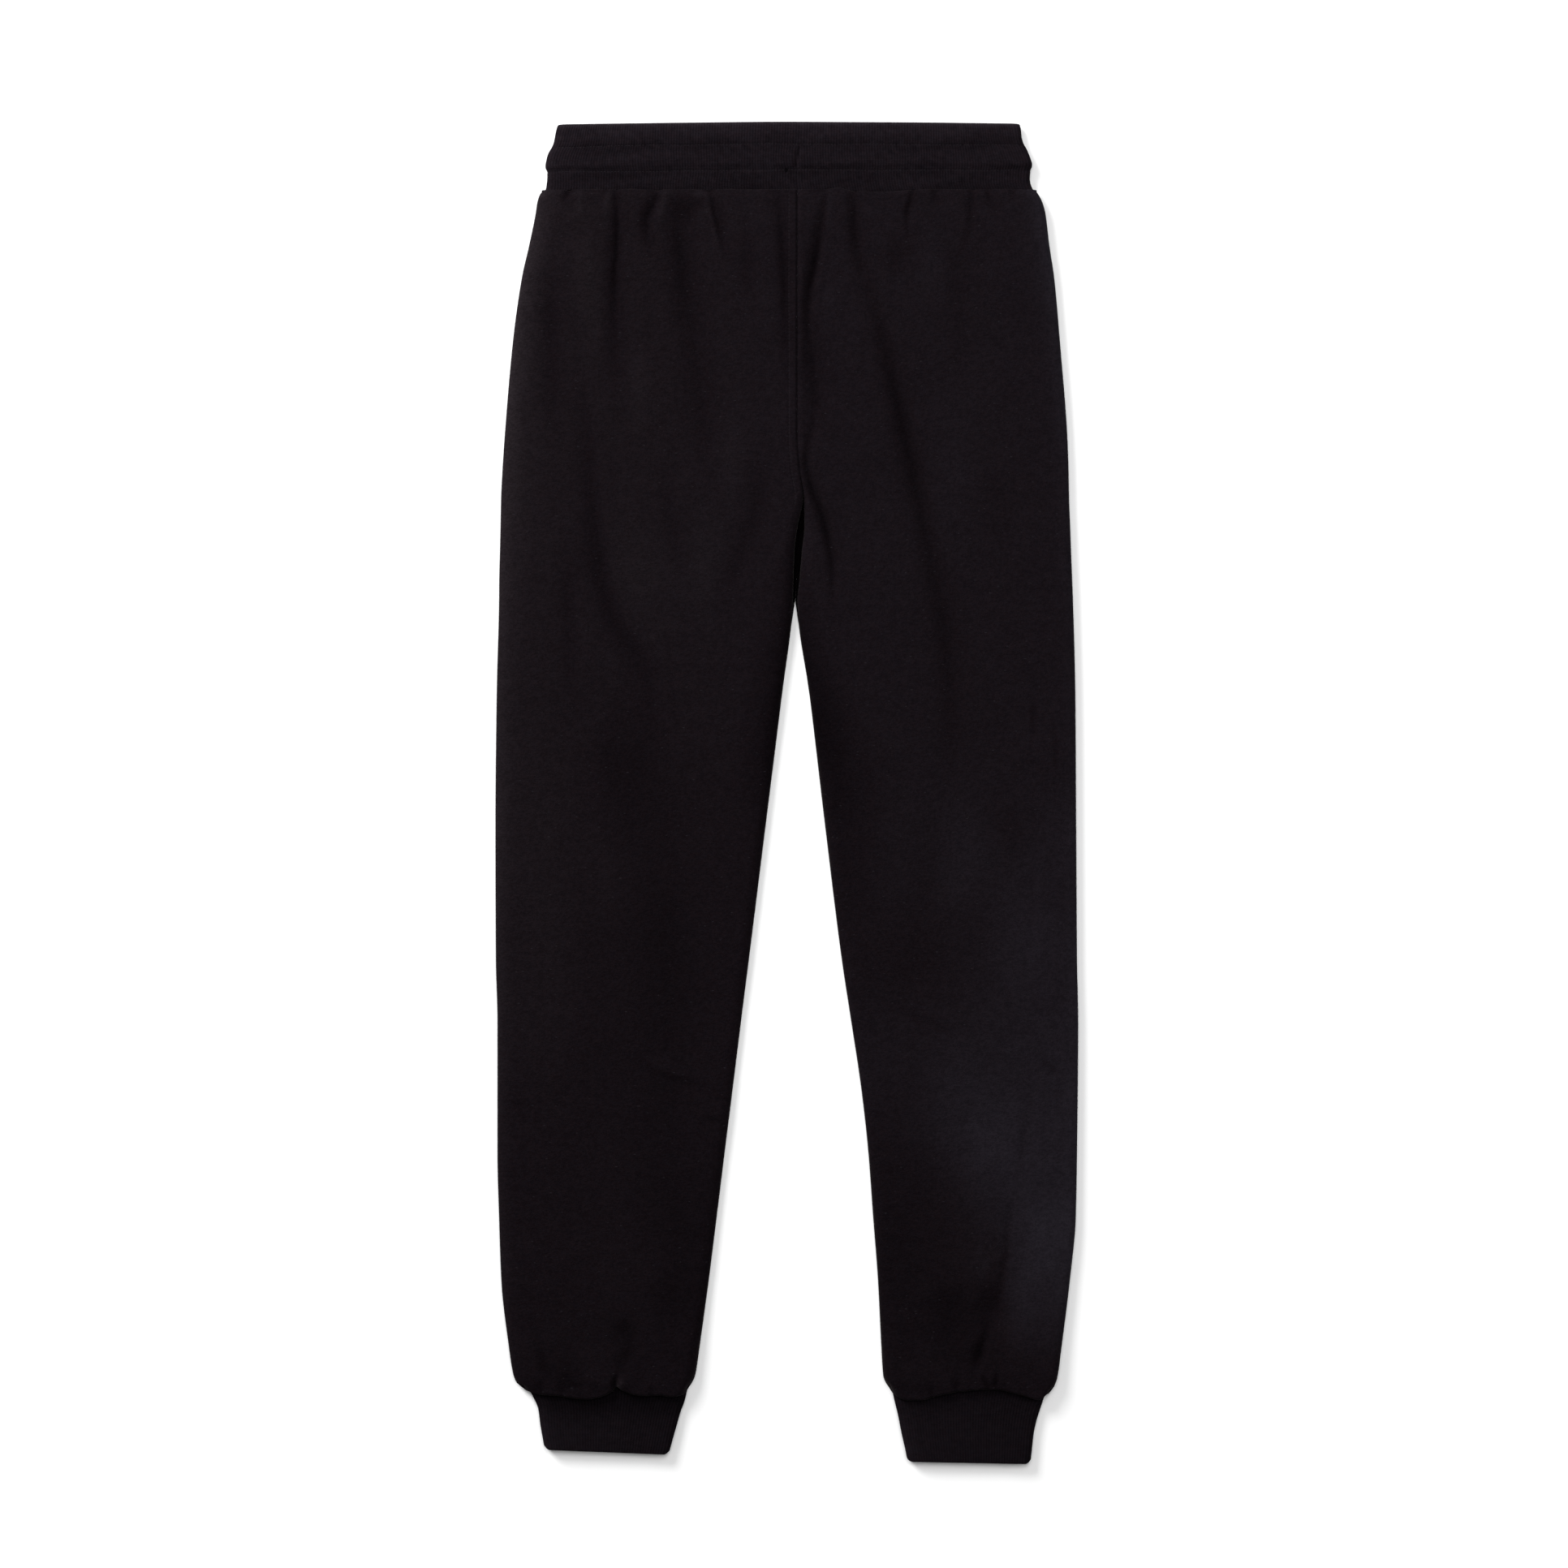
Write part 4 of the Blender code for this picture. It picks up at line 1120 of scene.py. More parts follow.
class Cut:
    """The panels' outline and lie, and the painted light and shade on them, read at any distance down."""

    HANG_START = 0.905  # distance down from which a leg is drawn towards its lower edge

    def __init__(self) -> None:
        """Fit curves through the tables of edges, lies and hems."""
        left_side, left_inner, right_inner, right_side = curves(
            EDGES, "left_side", "left_inner", "right_inner", "right_side"
        )
        self.side = {Hand.LEFT: left_side, Hand.RIGHT: right_side}
        self.inner = {Hand.LEFT: left_inner, Hand.RIGHT: right_inner}
        self.height, self.roll = curves(LIES, "height", "roll")
        self.hem = {hand: Curve(*zip(*points)) for hand, points in LEG_HEMS.items()}
        self.side_rim = {hand: curves(SIDE_RIMS[hand], "lift", "reach") for hand in Hand}
        self.inner_rim = {hand: curves(INNER_RIMS[hand], "lift", "reach") for hand in Hand}
        self.tone = {hand: Curve(*zip(*LEG_TONES[hand])) for hand in Hand}
        self.painted_sheen = curves(PAINTED_SHEENS, "none", "full", "lift")

    def lift(self, hand: Hand, x: np.ndarray, down: np.ndarray) -> np.ndarray:
        """Painted light and shade on a back panel, apart from its creases.

        Args:
            hand: The panel's half.
            x: Places across.
            down: Distances down, of the same shape.

        Returns:
            The lift at each place.
        """
        # painted light along the outer side, painted shade along the inner edge, the leg's falloff,
        # patches and a sheen
        from_side = np.clip((x - self.side[hand].at(down)) * hand.inward, 0, None)
        from_edge = np.clip((self.inner[hand].at(down) - x) * hand.inward, 0, None)
        strength, reach = (curve.at(down) for curve in self.side_rim[hand])
        total = self.tone[hand].at(down) + strength * np.exp(-from_side / reach)
        strength, reach = (curve.at(down) for curve in self.inner_rim[hand])
        total = total + strength * np.exp(-((from_edge / reach) ** 2))
        x_mm, down_mm = x * MM_A_METRE, down * MM_A_METRE
        for painted_shading in PAINTED_PATCHES:
            far = np.hypot((x_mm - painted_shading.x) / painted_shading.across, (down_mm - painted_shading.down) / painted_shading.along)
            total = total + painted_shading.lift * smooth_step(1 - far)
        none, full, lift = (curve.at(down) for curve in self.painted_sheen)
        return total + lift * smooth_step((x - none) / (full - none))

    def warped(self, hand: Hand, x: np.ndarray, down: np.ndarray) -> np.ndarray:
        """Move the last rows of a leg so that they end on its hanging lower edge."""
        share = np.clip((down - self.HANG_START) / (LEG_END - self.HANG_START), 0, 1)
        return down + share * share * (self.hem[hand].at(x) - LEG_END)


CUT = Cut()


@dataclass
class BackPanel:
    """One back panel: fleece gathered into the waistband and over its cuff."""

    hand: Hand
    side_steps: int = 12
    across_steps: int = 136
    inner_steps: int = 14
    lining_step: int = 5
    lip_steps: int = 7
    waist_lip: float = 0.0014
    hem_lip: tuple[float, float] = (0.0018, 0.0024)
    swells: tuple[Ripple, Ripple] = (Ripple(0.00038, 0.085, 11), Ripple(0.00012, 0.028, 12))
    creases: Creases = field(
        default_factory=lambda: Creases(WAIST_GATHERS + SEAT_CREASES + LEG_CREASES + HEM_GATHERS)
    )

    SPANS = (  # from, to and number of rows, closer together where the cloth is gathered
        (0.0524, 0.110, 60), (0.110, 0.250, 84), (0.250, 0.362, 80), (0.362, 0.870, 206),
        (0.870, LEG_END - 0.0004, 66),
    )
    FREE = Ease(0.0, 0.009)            # how the creases fade in from the side fold
    ALLOWANCE = 0.0005                 # height of the seam allowance under the topstitching
    ALLOWANCE_SIDES = (Ease(0.0, 0.0012), Ease(0.0052, 0.0012))
    RISE_FADE = Ease(RISE_END - 0.008, 0.012)
    LIP_TURNS = (90.0, -55.0)          # degrees of a lip from its top to its end under itself
    LIP_FALL = 1.82                    # how far it falls in all, as a multiple of its depth
    LIP_SHARE = 0.3                    # most of the cloth's height that its depth may take
    WAIST_DEPTHS = (0.0003, 0.0022)    # least and most depth of the lip on flat cloth
    GATHER_DEPTH = 0.0024              # most depth of the lip in a full gather
    GATHER = Ease(0.0, 0.0030)         # how full a gather is, by the depth of its trough
    DRAWN = 0.0007                     # how far a full gather draws the waist seam down
    RIDGE = 0.0010                     # height of a ridge that pushes the seam up in full
    PUSHED = 0.0004                    # how far it then goes
    BAND_TOP = 0.0081                  # height of the band beside the waist seam
    HEM_PULL = 0.935                   # distance down from which rows make room for the hem's lip
    FOLDED = 0.8                       # nearness to a fold past which the lining may turn down

    @property
    def name(self) -> str:
        """Name of the node that this piece stands for."""
        return "back_panel_" + self.hand.value

    def downs(self) -> np.ndarray:
        """Distances down of the rows."""
        return np.unique(np.concatenate([np.linspace(*span) for span in self.SPANS]).round(6))

    def columns(self, down: np.ndarray, inset: float) -> np.ndarray:
        """Places across of every column at each distance down.

        Args:
            down: Distances down, one a row.
            inset: How far inside the cloth's outer face.

        Returns:
            Rows x columns of x.
        """
        inward = self.hand.inward
        side = (CUT.side[self.hand].at(down) + inward * inset)[:, None]
        edge = CUT.inner[self.hand].at(down) - inward * SEAM_GAP / 2
        turn = math.pi / 2 * CUT.roll.at(down)
        end = (edge - inward * inset * np.sin(turn))[:, None]
        start = (edge - inward * INNER_FOLD_REACH[self.hand])[:, None]
        rise = 1 - np.cos(np.linspace(0, math.pi / 2, self.side_steps + 1))
        reach = SIDE_FOLD_REACH[self.hand] - inset
        across = np.linspace(0, 1, self.across_steps + 1)[1:-1]
        fall = np.sin(np.linspace(0, math.pi / 2, self.inner_steps + 1))
        first = side + inward * reach * rise
        last = start + (end - start) * fall
        middle = first[:, -1:] + (start - first[:, -1:]) * across
        return np.concatenate((first, middle, last), axis=1)

    def base(self, x: np.ndarray, down: np.ndarray, drop: float) -> tuple[np.ndarray, np.ndarray]:
        """Height of the plain lie, and how fully the creases show.

        Args:
            x: Places across.
            down: Distances down, of the same shape.
            drop: How far below the cloth's outer face.

        Returns:
            The height, and a share from 0 on the folded edges to 1 on the flat.
        """
        inward = self.hand.inward
        height = CUT.height.at(down) - drop
        roll = CUT.roll.at(down)
        from_side = (x - CUT.side[self.hand].at(down)) * inward - drop
        from_edge = (CUT.inner[self.hand].at(down) - x) * inward - SEAM_GAP / 2 - drop * roll
        s = np.clip(1 - from_side / (SIDE_FOLD_REACH[self.hand] - drop), 0, 1)
        e = np.clip(1 - from_edge / (INNER_FOLD_REACH[self.hand] - drop * roll), 0, 1)
        rise = np.sqrt(1 - s * s)
        fall = 1 - np.sqrt(np.clip(1 - e * e, 0, 1))
        low = FLEECE + SEAM_GAP
        z = SIDE_SEAM_HEIGHT + (height - SIDE_SEAM_HEIGHT) * rise
        z = z - roll * (height - low) * fall
        return z, self.FREE.at(from_side) * (1 - roll * fall)

    def seam(self, x: np.ndarray, down: np.ndarray) -> np.ndarray:
        """The rise seam: a groove, and on the left half its topstitched allowance.

        Args:
            x: Places across.
            down: Distances down, of the same shape.

        Returns:
            The height that the seam adds.
        """
        u = (CUT.inner[self.hand].at(down) - x) * self.hand.inward
        shape = sum(bump.at(u) for bump in RISE_BUMPS[self.hand])
        if self.hand is Hand.LEFT:
            near, far = self.ALLOWANCE_SIDES
            shape = shape + self.ALLOWANCE * near.at(u) * (1 - far.at(u))
        return shape * (1 - self.RISE_FADE.at(down))

    def relief(self, x: np.ndarray, down: np.ndarray) -> np.ndarray:
        """Everything that lifts the cloth off its plain lie."""
        swell = sum(ripple.at(x, down) for ripple in self.swells)
        return self.creases.at(x, down)[0] + swell + self.seam(x, down)

    def lift(self, x: np.ndarray, down: np.ndarray) -> np.ndarray:
        """Painted light and shade at places on this panel, the creases' own included."""
        return self.creases.at(x, down)[1] + CUT.lift(self.hand, x, down)

    def surface(self, x: np.ndarray, down: np.ndarray) -> np.ndarray:
        """Height of the cloth's outer face at places on this panel."""
        z, reach = self.base(x, down, 0.0)
        return z + reach * self.relief(x, down)

    def lip(
        self, down: np.ndarray, z: np.ndarray, reach: float, deep: np.ndarray, way: float
    ) -> tuple[np.ndarray, np.ndarray]:
        """Rows that round the cloth over and back under itself at a gathered seam.

        Args:
            down: Distances down of the row that the lip starts from.
            z: Heights of that row.
            reach: How far the lip bulges along the garment.
            deep: How far the lip falls to its outermost line.
            way: -1 towards the waist, 1 towards the hem.

        Returns:
            The distances down and heights of the lip's rows, from the outermost row in.
        """
        turns = np.radians(np.linspace(*self.LIP_TURNS, self.lip_steps + 1))[1:, None]
        return down + way * reach * np.cos(turns), z - deep * (1 - np.sin(turns))

    def outer(self) -> tuple[np.ndarray, np.ndarray]:
        """The outer face with its lips at the waist and the hem.

        Returns:
            Its points, and the relief on each.
        """
        rows = self.downs()
        x = self.columns(rows, 0.0)
        down = np.repeat(rows[:, None], x.shape[1], axis=1)
        z, reach = self.base(x, down, 0.0)
        placed = CUT.warped(self.hand, x, down)
        relief = reach * self.relief(x, placed)
        z = z + relief
        gathered = self.GATHER.at(-relief[0])
        ridged = np.clip(relief[0] / self.RIDGE, 0, 1)
        start = placed[0] + self.DRAWN * gathered - self.PUSHED * ridged
        start = start - sum(bulge.at(x[0]) for bulge in WAIST_BULGES)
        deep = np.clip((z[0] - self.BAND_TOP) / self.LIP_FALL, *self.WAIST_DEPTHS)
        sunken = np.minimum(self.GATHER_DEPTH, self.LIP_SHARE * z[0])
        deep = deep + (sunken - deep) * gathered
        top_down, top_z = self.lip(start, z[0], self.waist_lip, deep, -1.0)
        end = placed[-1] - self.hem_lip[0]
        deep = np.minimum(self.hem_lip[1], self.LIP_SHARE * z[-1])
        hem_down, hem_z = self.lip(end, z[-1], self.hem_lip[0], deep, 1.0)
        placed[0] = start
        pull = Ease(self.HEM_PULL, LEG_END - self.HEM_PULL).at(rows)[:, None]
        placed = placed - pull * self.hem_lip[0]
        body = place(x, placed, z)
        top = place(x[0], top_down[::-1], top_z[::-1])
        hem = place(x[-1], hem_down, hem_z)
        before, after = (np.repeat(relief[row], self.lip_steps, 0) for row in ([0], [-1]))
        return np.concatenate((top, body, hem)), np.concatenate((before, relief, after))

    def build(self) -> bpy.types.Object:
        """Make the panel as a thin wall.

        Returns:
            The panel.
        """
        points, relief = self.outer()
        maker = MeshMaker()
        outer = maker.grid(points, lift=self.lift(points[..., 0], WAIST_Y - points[..., 1]))
        rows = picked(points.shape[0], self.lining_step)
        columns = picked(points.shape[1], self.lining_step)
        chosen = points[np.ix_(rows, columns)]
        down = WAIST_Y - chosen[..., 1]
        flat_down = np.clip(down, EDGES[0].down, LEG_END)
        inward = self.hand.inward
        side = CUT.side[self.hand].at(flat_down)
        edge = CUT.inner[self.hand].at(flat_down)
        from_side = (chosen[..., 0] - side) * inward / SIDE_FOLD_REACH[self.hand]
        from_edge = (edge - chosen[..., 0]) * inward / INNER_FOLD_REACH[self.hand]
        near_side, near_edge = np.clip(1 - from_side, 0, 1), np.clip(1 - from_edge, 0, 1)
        near_edge = near_edge * CUT.roll.at(flat_down)
        x = chosen[..., 0] + inward * FLEECE * (near_side - near_edge)
        near = np.maximum(near_side, near_edge)
        sunk = window_lowest(relief, self.lining_step) - relief[np.ix_(rows, columns)]
        z = chosen[..., 2] - FLEECE * np.sqrt(1 - near**2) + np.minimum(sunk, 0)
        floor = FLEECE + SEAM_GAP / 2
        z = np.where(near < self.FOLDED, np.maximum(z, floor), z)
        inner = maker.grid(np.stack((x, chosen[..., 1], z), axis=-1))
        maker.rim(outer, inner, closed=False)
        return maker.make(self.name)

    def dress(self, fleece: bpy.types.Material) -> bpy.types.Object:
        """Build the panel and finish it with its cloth.

        Args:
            fleece: The body cloth.

        Returns:
            The finished piece.
        """
        piece = self.build()
        dressed(piece, fleece, self.name)
        return piece


@dataclass
class FrontPanel:
    """One front panel, the layer that lies on the floor."""

    hand: Hand
    side_steps: int = 8
    across_steps: int = 56
    rows: int = 300
    lining_step: int = 6
    creases: Creases = field(default_factory=lambda: Creases(UNDERSIDE_CREASES))

    DARKENED = -0.80                   # painted shade on the inside, which the back lies on, so the gap between the legs reads dark
    HALF_GAP = 0.00002                # half the gap between the two panels
    PARTING = Ease(CROTCH, 0.008)     # how the two panels part below the crotch
    SEAM = Bump(0.0, 0.0012, 0.0006)  # dent of the centre-front seam
    FLAT = 0.001                      # height below which a point is on the flat underside

    @property
    def name(self) -> str:
        """Name of the node that this piece stands for."""
        return "front_panel_" + self.hand.value

    def edge(self, down: np.ndarray) -> np.ndarray:
        """Inner edge: the centre-front seam, then the inside of the leg.

        Args:
            down: Distances down.

        Returns:
            Places across of the edge.
        """
        middle = (CUT.inner[Hand.LEFT].at(down) + CUT.inner[Hand.RIGHT].at(down)) / 2
        parted = (CUT.inner[self.hand].at(down) - middle) * self.PARTING.at(down)
        return middle + parted - self.hand.inward * self.HALF_GAP

    def face(self, rows: np.ndarray, inset: float) -> tuple[np.ndarray, np.ndarray, np.ndarray]:
        """One face of the panel.

        Args:
            rows: Distances down.
            inset: 0 underneath, or the cloth's thickness on top.

        Returns:
            Places across, down and up.
        """
        inward = self.hand.inward
        side = (CUT.side[self.hand].at(rows) + inward * inset)[:, None]
        fall = np.linspace(0, math.pi / 2, self.side_steps + 1)
        first = side + inward * (UNDER_FOLD_REACH - inset) * (1 - np.cos(fall))
        across = np.linspace(0, 1, self.across_steps + 1)[1:]
        middle = first[:, -1:] + (self.edge(rows)[:, None] - first[:, -1:]) * across
        x = np.concatenate((first, middle), axis=1)
        seam = SIDE_SEAM_HEIGHT - SEAM_GAP
        curl = seam - (seam - inset) * np.sin(fall)
        z = np.concatenate((curl, np.full(self.across_steps, inset)))
        down = np.repeat(rows[:, None], x.shape[1], axis=1)
        return x, down, np.broadcast_to(z, x.shape)

    def build(self) -> bpy.types.Object:
        """Make the panel as a thin wall, flat underneath but for shallow creases.

        Returns:
            The panel.
        """
        rows = np.linspace(WAIST_SEAM + SEAM_GAP, LEG_END, self.rows)
        x, down, z = self.face(rows, 0.0)
        placed = CUT.warped(self.hand, x, down)
        seam = self.SEAM.at(x - self.edge(down)) * (down < CROTCH)
        dents = np.clip(self.creases.at(x, placed)[0] + seam, 0, None)
        maker = MeshMaker()
        outer = maker.grid(place(x, placed, z + np.where(z < self.FLAT, dents, 0.0)))
        x, down, z = self.face(rows, FLEECE)
        placed = CUT.warped(self.hand, x, down)
        chosen = np.ix_(picked(x.shape[0], self.lining_step), picked(x.shape[1], self.lining_step))
        inner = maker.grid(place(x[chosen], placed[chosen], z[chosen]), lift=self.DARKENED)
        maker.rim(outer, inner, closed=False)
        return maker.make(self.name)

    def dress(self, fleece: bpy.types.Material) -> bpy.types.Object:
        """Build the panel and finish it with its cloth.

        Args:
            fleece: The body cloth.

        Returns:
            The finished piece.
        """
        piece = self.build()
        dressed(piece, fleece, self.name)
        return piece


# --- ribbed tubes --------------------------------------------------------------------


@dataclass(frozen=True)
class TubeRow:
    """One row round a ribbed tube."""

    down: float
    left: float
    right: float
    height: float


def rounded(rows: Sequence[TubeRow], share: np.ndarray) -> list[TubeRow]:
    """Draw a tube's outer face in at the fold of its doubled edge.

    Args:
        rows: The tube's rows.
        share: How near each row is to the fold, from 0 to 1.

    Returns:
        The rows of the outer face.
    """
    amounts = EDGE_ROUNDING * (1 - np.sqrt(1 - share**2))
    return [
        TubeRow(row.down, row.left + amount, row.right - amount, row.height - amount)
        for row, amount in zip(rows, amounts)
    ]


def columns_of(rows: Sequence[TubeRow], *parts: str) -> list[np.ndarray]:
    """Parts of a tube's rows, each as a column."""
    return [np.array([getattr(row, part) for row in rows])[:, None] for part in parts]


@dataclass
class RibbedTube:
    """A flattened tube of rib knit, ribbed all round and flat underneath."""

    name: str
    ribs: int
    wall: float
    reach: float = 0.0055
    points_a_rib: int = 5
    under_points_a_rib: int = 3
    lining_points: int = 60
    rib_shade: float = 0.22  # painted highlight on a rib's crest against painted shade between two

    MEAN_CREST = 0.56        # height of the ribs at which the painted rib shade is 0
    HOLLOW = 0.0002          # least height of the lining's top above the tube's middle

    def half(
        self, left: np.ndarray, right: np.ndarray, middle: np.ndarray, top: np.ndarray,
        reach: float, places: np.ndarray,
    ) -> tuple[np.ndarray, np.ndarray, np.ndarray, np.ndarray]:
        """Points over the top of the tube, from its left fold to its right fold.

        Args:
            left: X of the left fold, one a row, as a column.
            right: X of the right fold.
            middle: Height of the folds.
            top: Height of the top.
            reach: How far in from a fold the tube takes to rise.
            places: Share of the way across of each point.

        Returns:
            X, height, and the outward direction's two parts.
        """
        arc = math.pi / 4 * (reach + top - middle)
        flat = right - left - 2 * reach
        at = places * (flat + 2 * arc)
        turn_left = np.clip(at / arc, 0, 1) * math.pi / 2
        turn_right = np.clip((flat + 2 * arc - at) / arc, 0, 1) * math.pi / 2
        x = left + reach * (1 - np.cos(turn_left)) + np.clip(at - arc, 0, flat)
        x = x + reach * np.cos(turn_right)
        turn = np.minimum(turn_left, turn_right)
        normal_x = np.where(at < arc, -np.cos(turn_left), np.cos(turn_right))
        return x, middle + (top - middle) * np.sin(turn), normal_x, np.sin(turn)

    @staticmethod
    def crest(places: np.ndarray, ribs: int) -> np.ndarray:
        """Height of rounded ribs with narrow grooves between them, from 0 to 1."""
        wave = 0.5 - 0.5 * np.cos(2 * math.pi * ribs * places)
        return wave**RIB_FULLNESS

    def painted_rib_shade(self) -> np.ndarray:
        """Painted rib shade on each point round the outer face: painted highlight on the crests, painted
        shade in the grooves.

        Returns:
            The lift at each point.
        """
        over = np.linspace(0, 1, self.ribs * self.points_a_rib + 1)
        under = np.linspace(1, 0, self.ribs * self.under_points_a_rib + 1)[1:-1]
        crest = self.crest(np.concatenate((over, under)), self.ribs)
        return self.rib_shade * (crest - self.MEAN_CREST)

    def ring(
        self, rows: Sequence[TubeRow], relief: Callable[[np.ndarray, np.ndarray], np.ndarray],
        rib_height: np.ndarray,
    ) -> tuple[np.ndarray, np.ndarray, np.ndarray]:
        """The outer face.

        Args:
            rows: The tube's rows.
            relief: Height that creases and seams add at places across and down.
            rib_height: How high the ribs stand on each row.

        Returns:
            Places across, heights, and a mark that is 1 on top and 0 underneath.
        """
        left, right, height, down = columns_of(rows, "left", "right", "height", "down")
        middle = height / 2
        places = np.linspace(0, 1, self.ribs * self.points_a_rib + 1)[None, :]
        body = height - rib_height[:, None]
        x, z, normal_x, normal_z = self.half(left, right, middle, body, self.reach, places)
        rise = self.crest(places, self.ribs) * rib_height[:, None] + relief(x, down + 0 * x)
        x, z = x + normal_x * rise, z + normal_z * rise
        places = np.linspace(1, 0, self.ribs * self.under_points_a_rib + 1)[None, 1:-1]
        under_x, under_z, normal_x, normal_z = self.half(
            left, right, middle, height, self.reach, places
        )
        sunk = (self.crest(places, self.ribs) - 1) * rib_height[:, None]
        under_x = under_x + normal_x * sunk
        under_z = np.clip(height - under_z - normal_z * sunk, 0, None)
        top = np.concatenate((np.ones(x.shape[1]), np.zeros(under_x.shape[1])))
        x = np.concatenate((x, under_x), axis=1)
        return x, np.concatenate((z, under_z), axis=1), top

    def lining(self, rows: Sequence[TubeRow]) -> tuple[np.ndarray, np.ndarray]:
        """The plain inside.

        Args:
            rows: The tube's rows.

        Returns:
            Places across, and heights.
        """
        left, right, height = columns_of(rows, "left", "right", "height")
        middle = height / 2
        places = np.linspace(0, 1, self.lining_points + 1)[None, :]
        reach = self.reach - self.wall / 2
        top = np.maximum(height - RIB_HEIGHT - self.wall, middle + self.HOLLOW)
        x, z, _, _ = self.half(left + self.wall, right - self.wall, middle, top, reach, places)
        under_x, under_z = x[:, ::-1][:, 1:-1], (2 * middle - z)[:, ::-1][:, 1:-1]
        return np.concatenate((x, under_x), axis=1), np.concatenate((z, under_z), axis=1)


@dataclass
class Waistband:
    """The three-tier ribbed waistband, drawn in by two stitched rows over its elastic."""

    tube: RibbedTube = field(default_factory=lambda: RibbedTube("waistband", 180, 0.0030))
    seam_x: float = 0.0076                   # centre-back seam, at the lower stitched row
    seam_lean: float = 0.0026                # how far it leans to the right higher up
    seam_leaning: tuple[float, float] = (0.0310, 0.0166)  # distance down from where, over how far
    seam_bumps: tuple[Bump, Bump] = (Bump(0.0, 0.0018, -0.0010), Bump(0.0, 0.0012, -0.0003))
    seam_bend: float = 0.00176               # how far the ribs beside it bend away
    seam_reach: float = 0.012
    pinch: tuple[float, float] = (0.0000, 0.0358)  # x, and distance down
    pinch_bump: Bump = Bump(0.0, 0.0010, -0.0019)
    middle_tier: tuple[Ease, Ease] = (Ease(0.0170, 0.003), Ease(0.0320, 0.002))
    fullness: Ripple = Ripple(0.00020, 0.070, 21)
    sag: Wave = Wave(0.0003, 34.0, 1.0)
    slant: Wave = Wave(0.0009, 27.0)         # how ribs lean in the lowest tier
    slanted: Ease = Ease(0.0360, 0.012)
    wander: Wave = Wave(0.0004, 47.0)        # how they wander in the middle tier
    wavers: tuple[Wave, Wave] = (Wave(0.00022, 71.0), Wave(0.00015, 157.0, 1.0))
    drooping: Ease = Ease(0.0352, 0.0148)
    leaning: Ease = Ease(0.085, 0.085)       # how far out the ribs stop standing upright
    stitch_rows: tuple[float, float] = (0.0160, 0.0352)
    stitch_depth: float = 0.0002
    stitch_width: float = 0.0007
    drift_x: tuple[float, ...] = (-0.180, -0.090, 0.000, 0.090, 0.184)
    drifts: tuple[tuple[float, tuple[float, ...]], ...] = (  # down, and stray at each drift_x
        (0.0000, (0.0021, 0.0008, 0.0000, 0.0004, 0.0015)),
        (0.0160, (0.0036, 0.0018, 0.0009, 0.0013, 0.0018)),
        (0.0352, (0.0025, 0.0020, 0.0011, 0.0012, 0.0013)),
        (0.0500, (0.0010, 0.0010, 0.0010, 0.0010, 0.0010)),
    )
    shades: tuple[tuple[float, float], ...] = (  # down, and the painted light of the tiers there, painted shade below 0
        (0.0000, 0.84), (0.0012, 0.66), (0.0030, 0.18), (0.0060, 0.05), (0.0100, -0.09),
        (0.0135, -0.20), (0.0160, -0.27), (0.0180, -0.27), (0.0230, -0.18), (0.0280, -0.16),
        (0.0300, -0.12), (0.0315, -0.20), (0.0335, -0.26), (0.0355, -0.26), (0.0375, -0.28),
        (0.0420, -0.24), (0.0500, -0.26),
    )
    outline: tuple[TubeRow, ...] = in_metres(
        TubeRow(0, -170.3, 173.3, 7), TubeRow(5, -172, 174.5, 7.8), TubeRow(10, -173.1, 175.1, 8.3),
        TubeRow(14, -174.3, 176, 8.4), TubeRow(16, -175.5, 177.2, 8.3),
        TubeRow(18.5, -176.7, 178.4, 8.7), TubeRow(22.5, -178.3, 180, 9.2),
        TubeRow(27, -179.2, 181.3, 9.5), TubeRow(30, -179.6, 181.9, 9.5), TubeRow(32, -179.3, 181.8, 9),
        TubeRow(33.8, -178.7, 181.4, 8.6), TubeRow(35.2, -178.4, 181.2, 8.4),
        TubeRow(37.5, -178.4, 181.1, 8.3), TubeRow(43, -179, 181.5, 8.1), TubeRow(48, -179.6, 183, 7.7),
        TubeRow(50, -180.2, 184.4, 7.4),
    )

    FOLD = 0.0012            # how far down the band's folded top is rounded
    SPANS = (                # from, to and number of rows below that
        (0.0012, 0.0142, 11), (0.0148, 0.0172, 7), (0.0182, 0.0316, 12),
        (0.0322, 0.0364, 11), (0.0376, 0.0500, 11),
    )
    PINCH_SHADE = (0.3, 0.003, 0.002)  # how dark the pinch is, how far across and how far down
    SIDE_SHADES = ((-0.180, 0.46, 0.012), (0.184, 0.14, 0.008))  # x, lift and reach of the painted light at the band's folded ends
    SIDE_START = Ease(0.005, 0.006)
    PAINTED_RIGHT_SHADE = 0.08              # painted shade: how much darker the top tier is at its right end
    PAINTED_RIGHT_SHADE_ACROSS = Ease(0.06, 0.10)
    PAINTED_RIGHT_SHADE_END = Ease(0.010, 0.006)
    WEAR = ((Ripple(0.06, 0.050, 23), 4.0), (Ripple(0.05, 0.006, 24), 1.0))  # and stretch down

    def rows(self) -> list[TubeRow]:
        """Fine rows, close together at the two ends and the stitched rows.

        Returns:
            The rows.
        """
        top = self.FOLD * (1 - np.cos(np.linspace(0, math.pi / 2, 5)))
        spans = [np.linspace(*span) for span in self.SPANS]
        downs = np.unique(np.concatenate([top, *spans]).round(6))
        parts = [curve.at(downs) for curve in curves(self.outline, "left", "right", "height")]
        return [TubeRow(*map(float, row)) for row in zip(downs, *parts)]

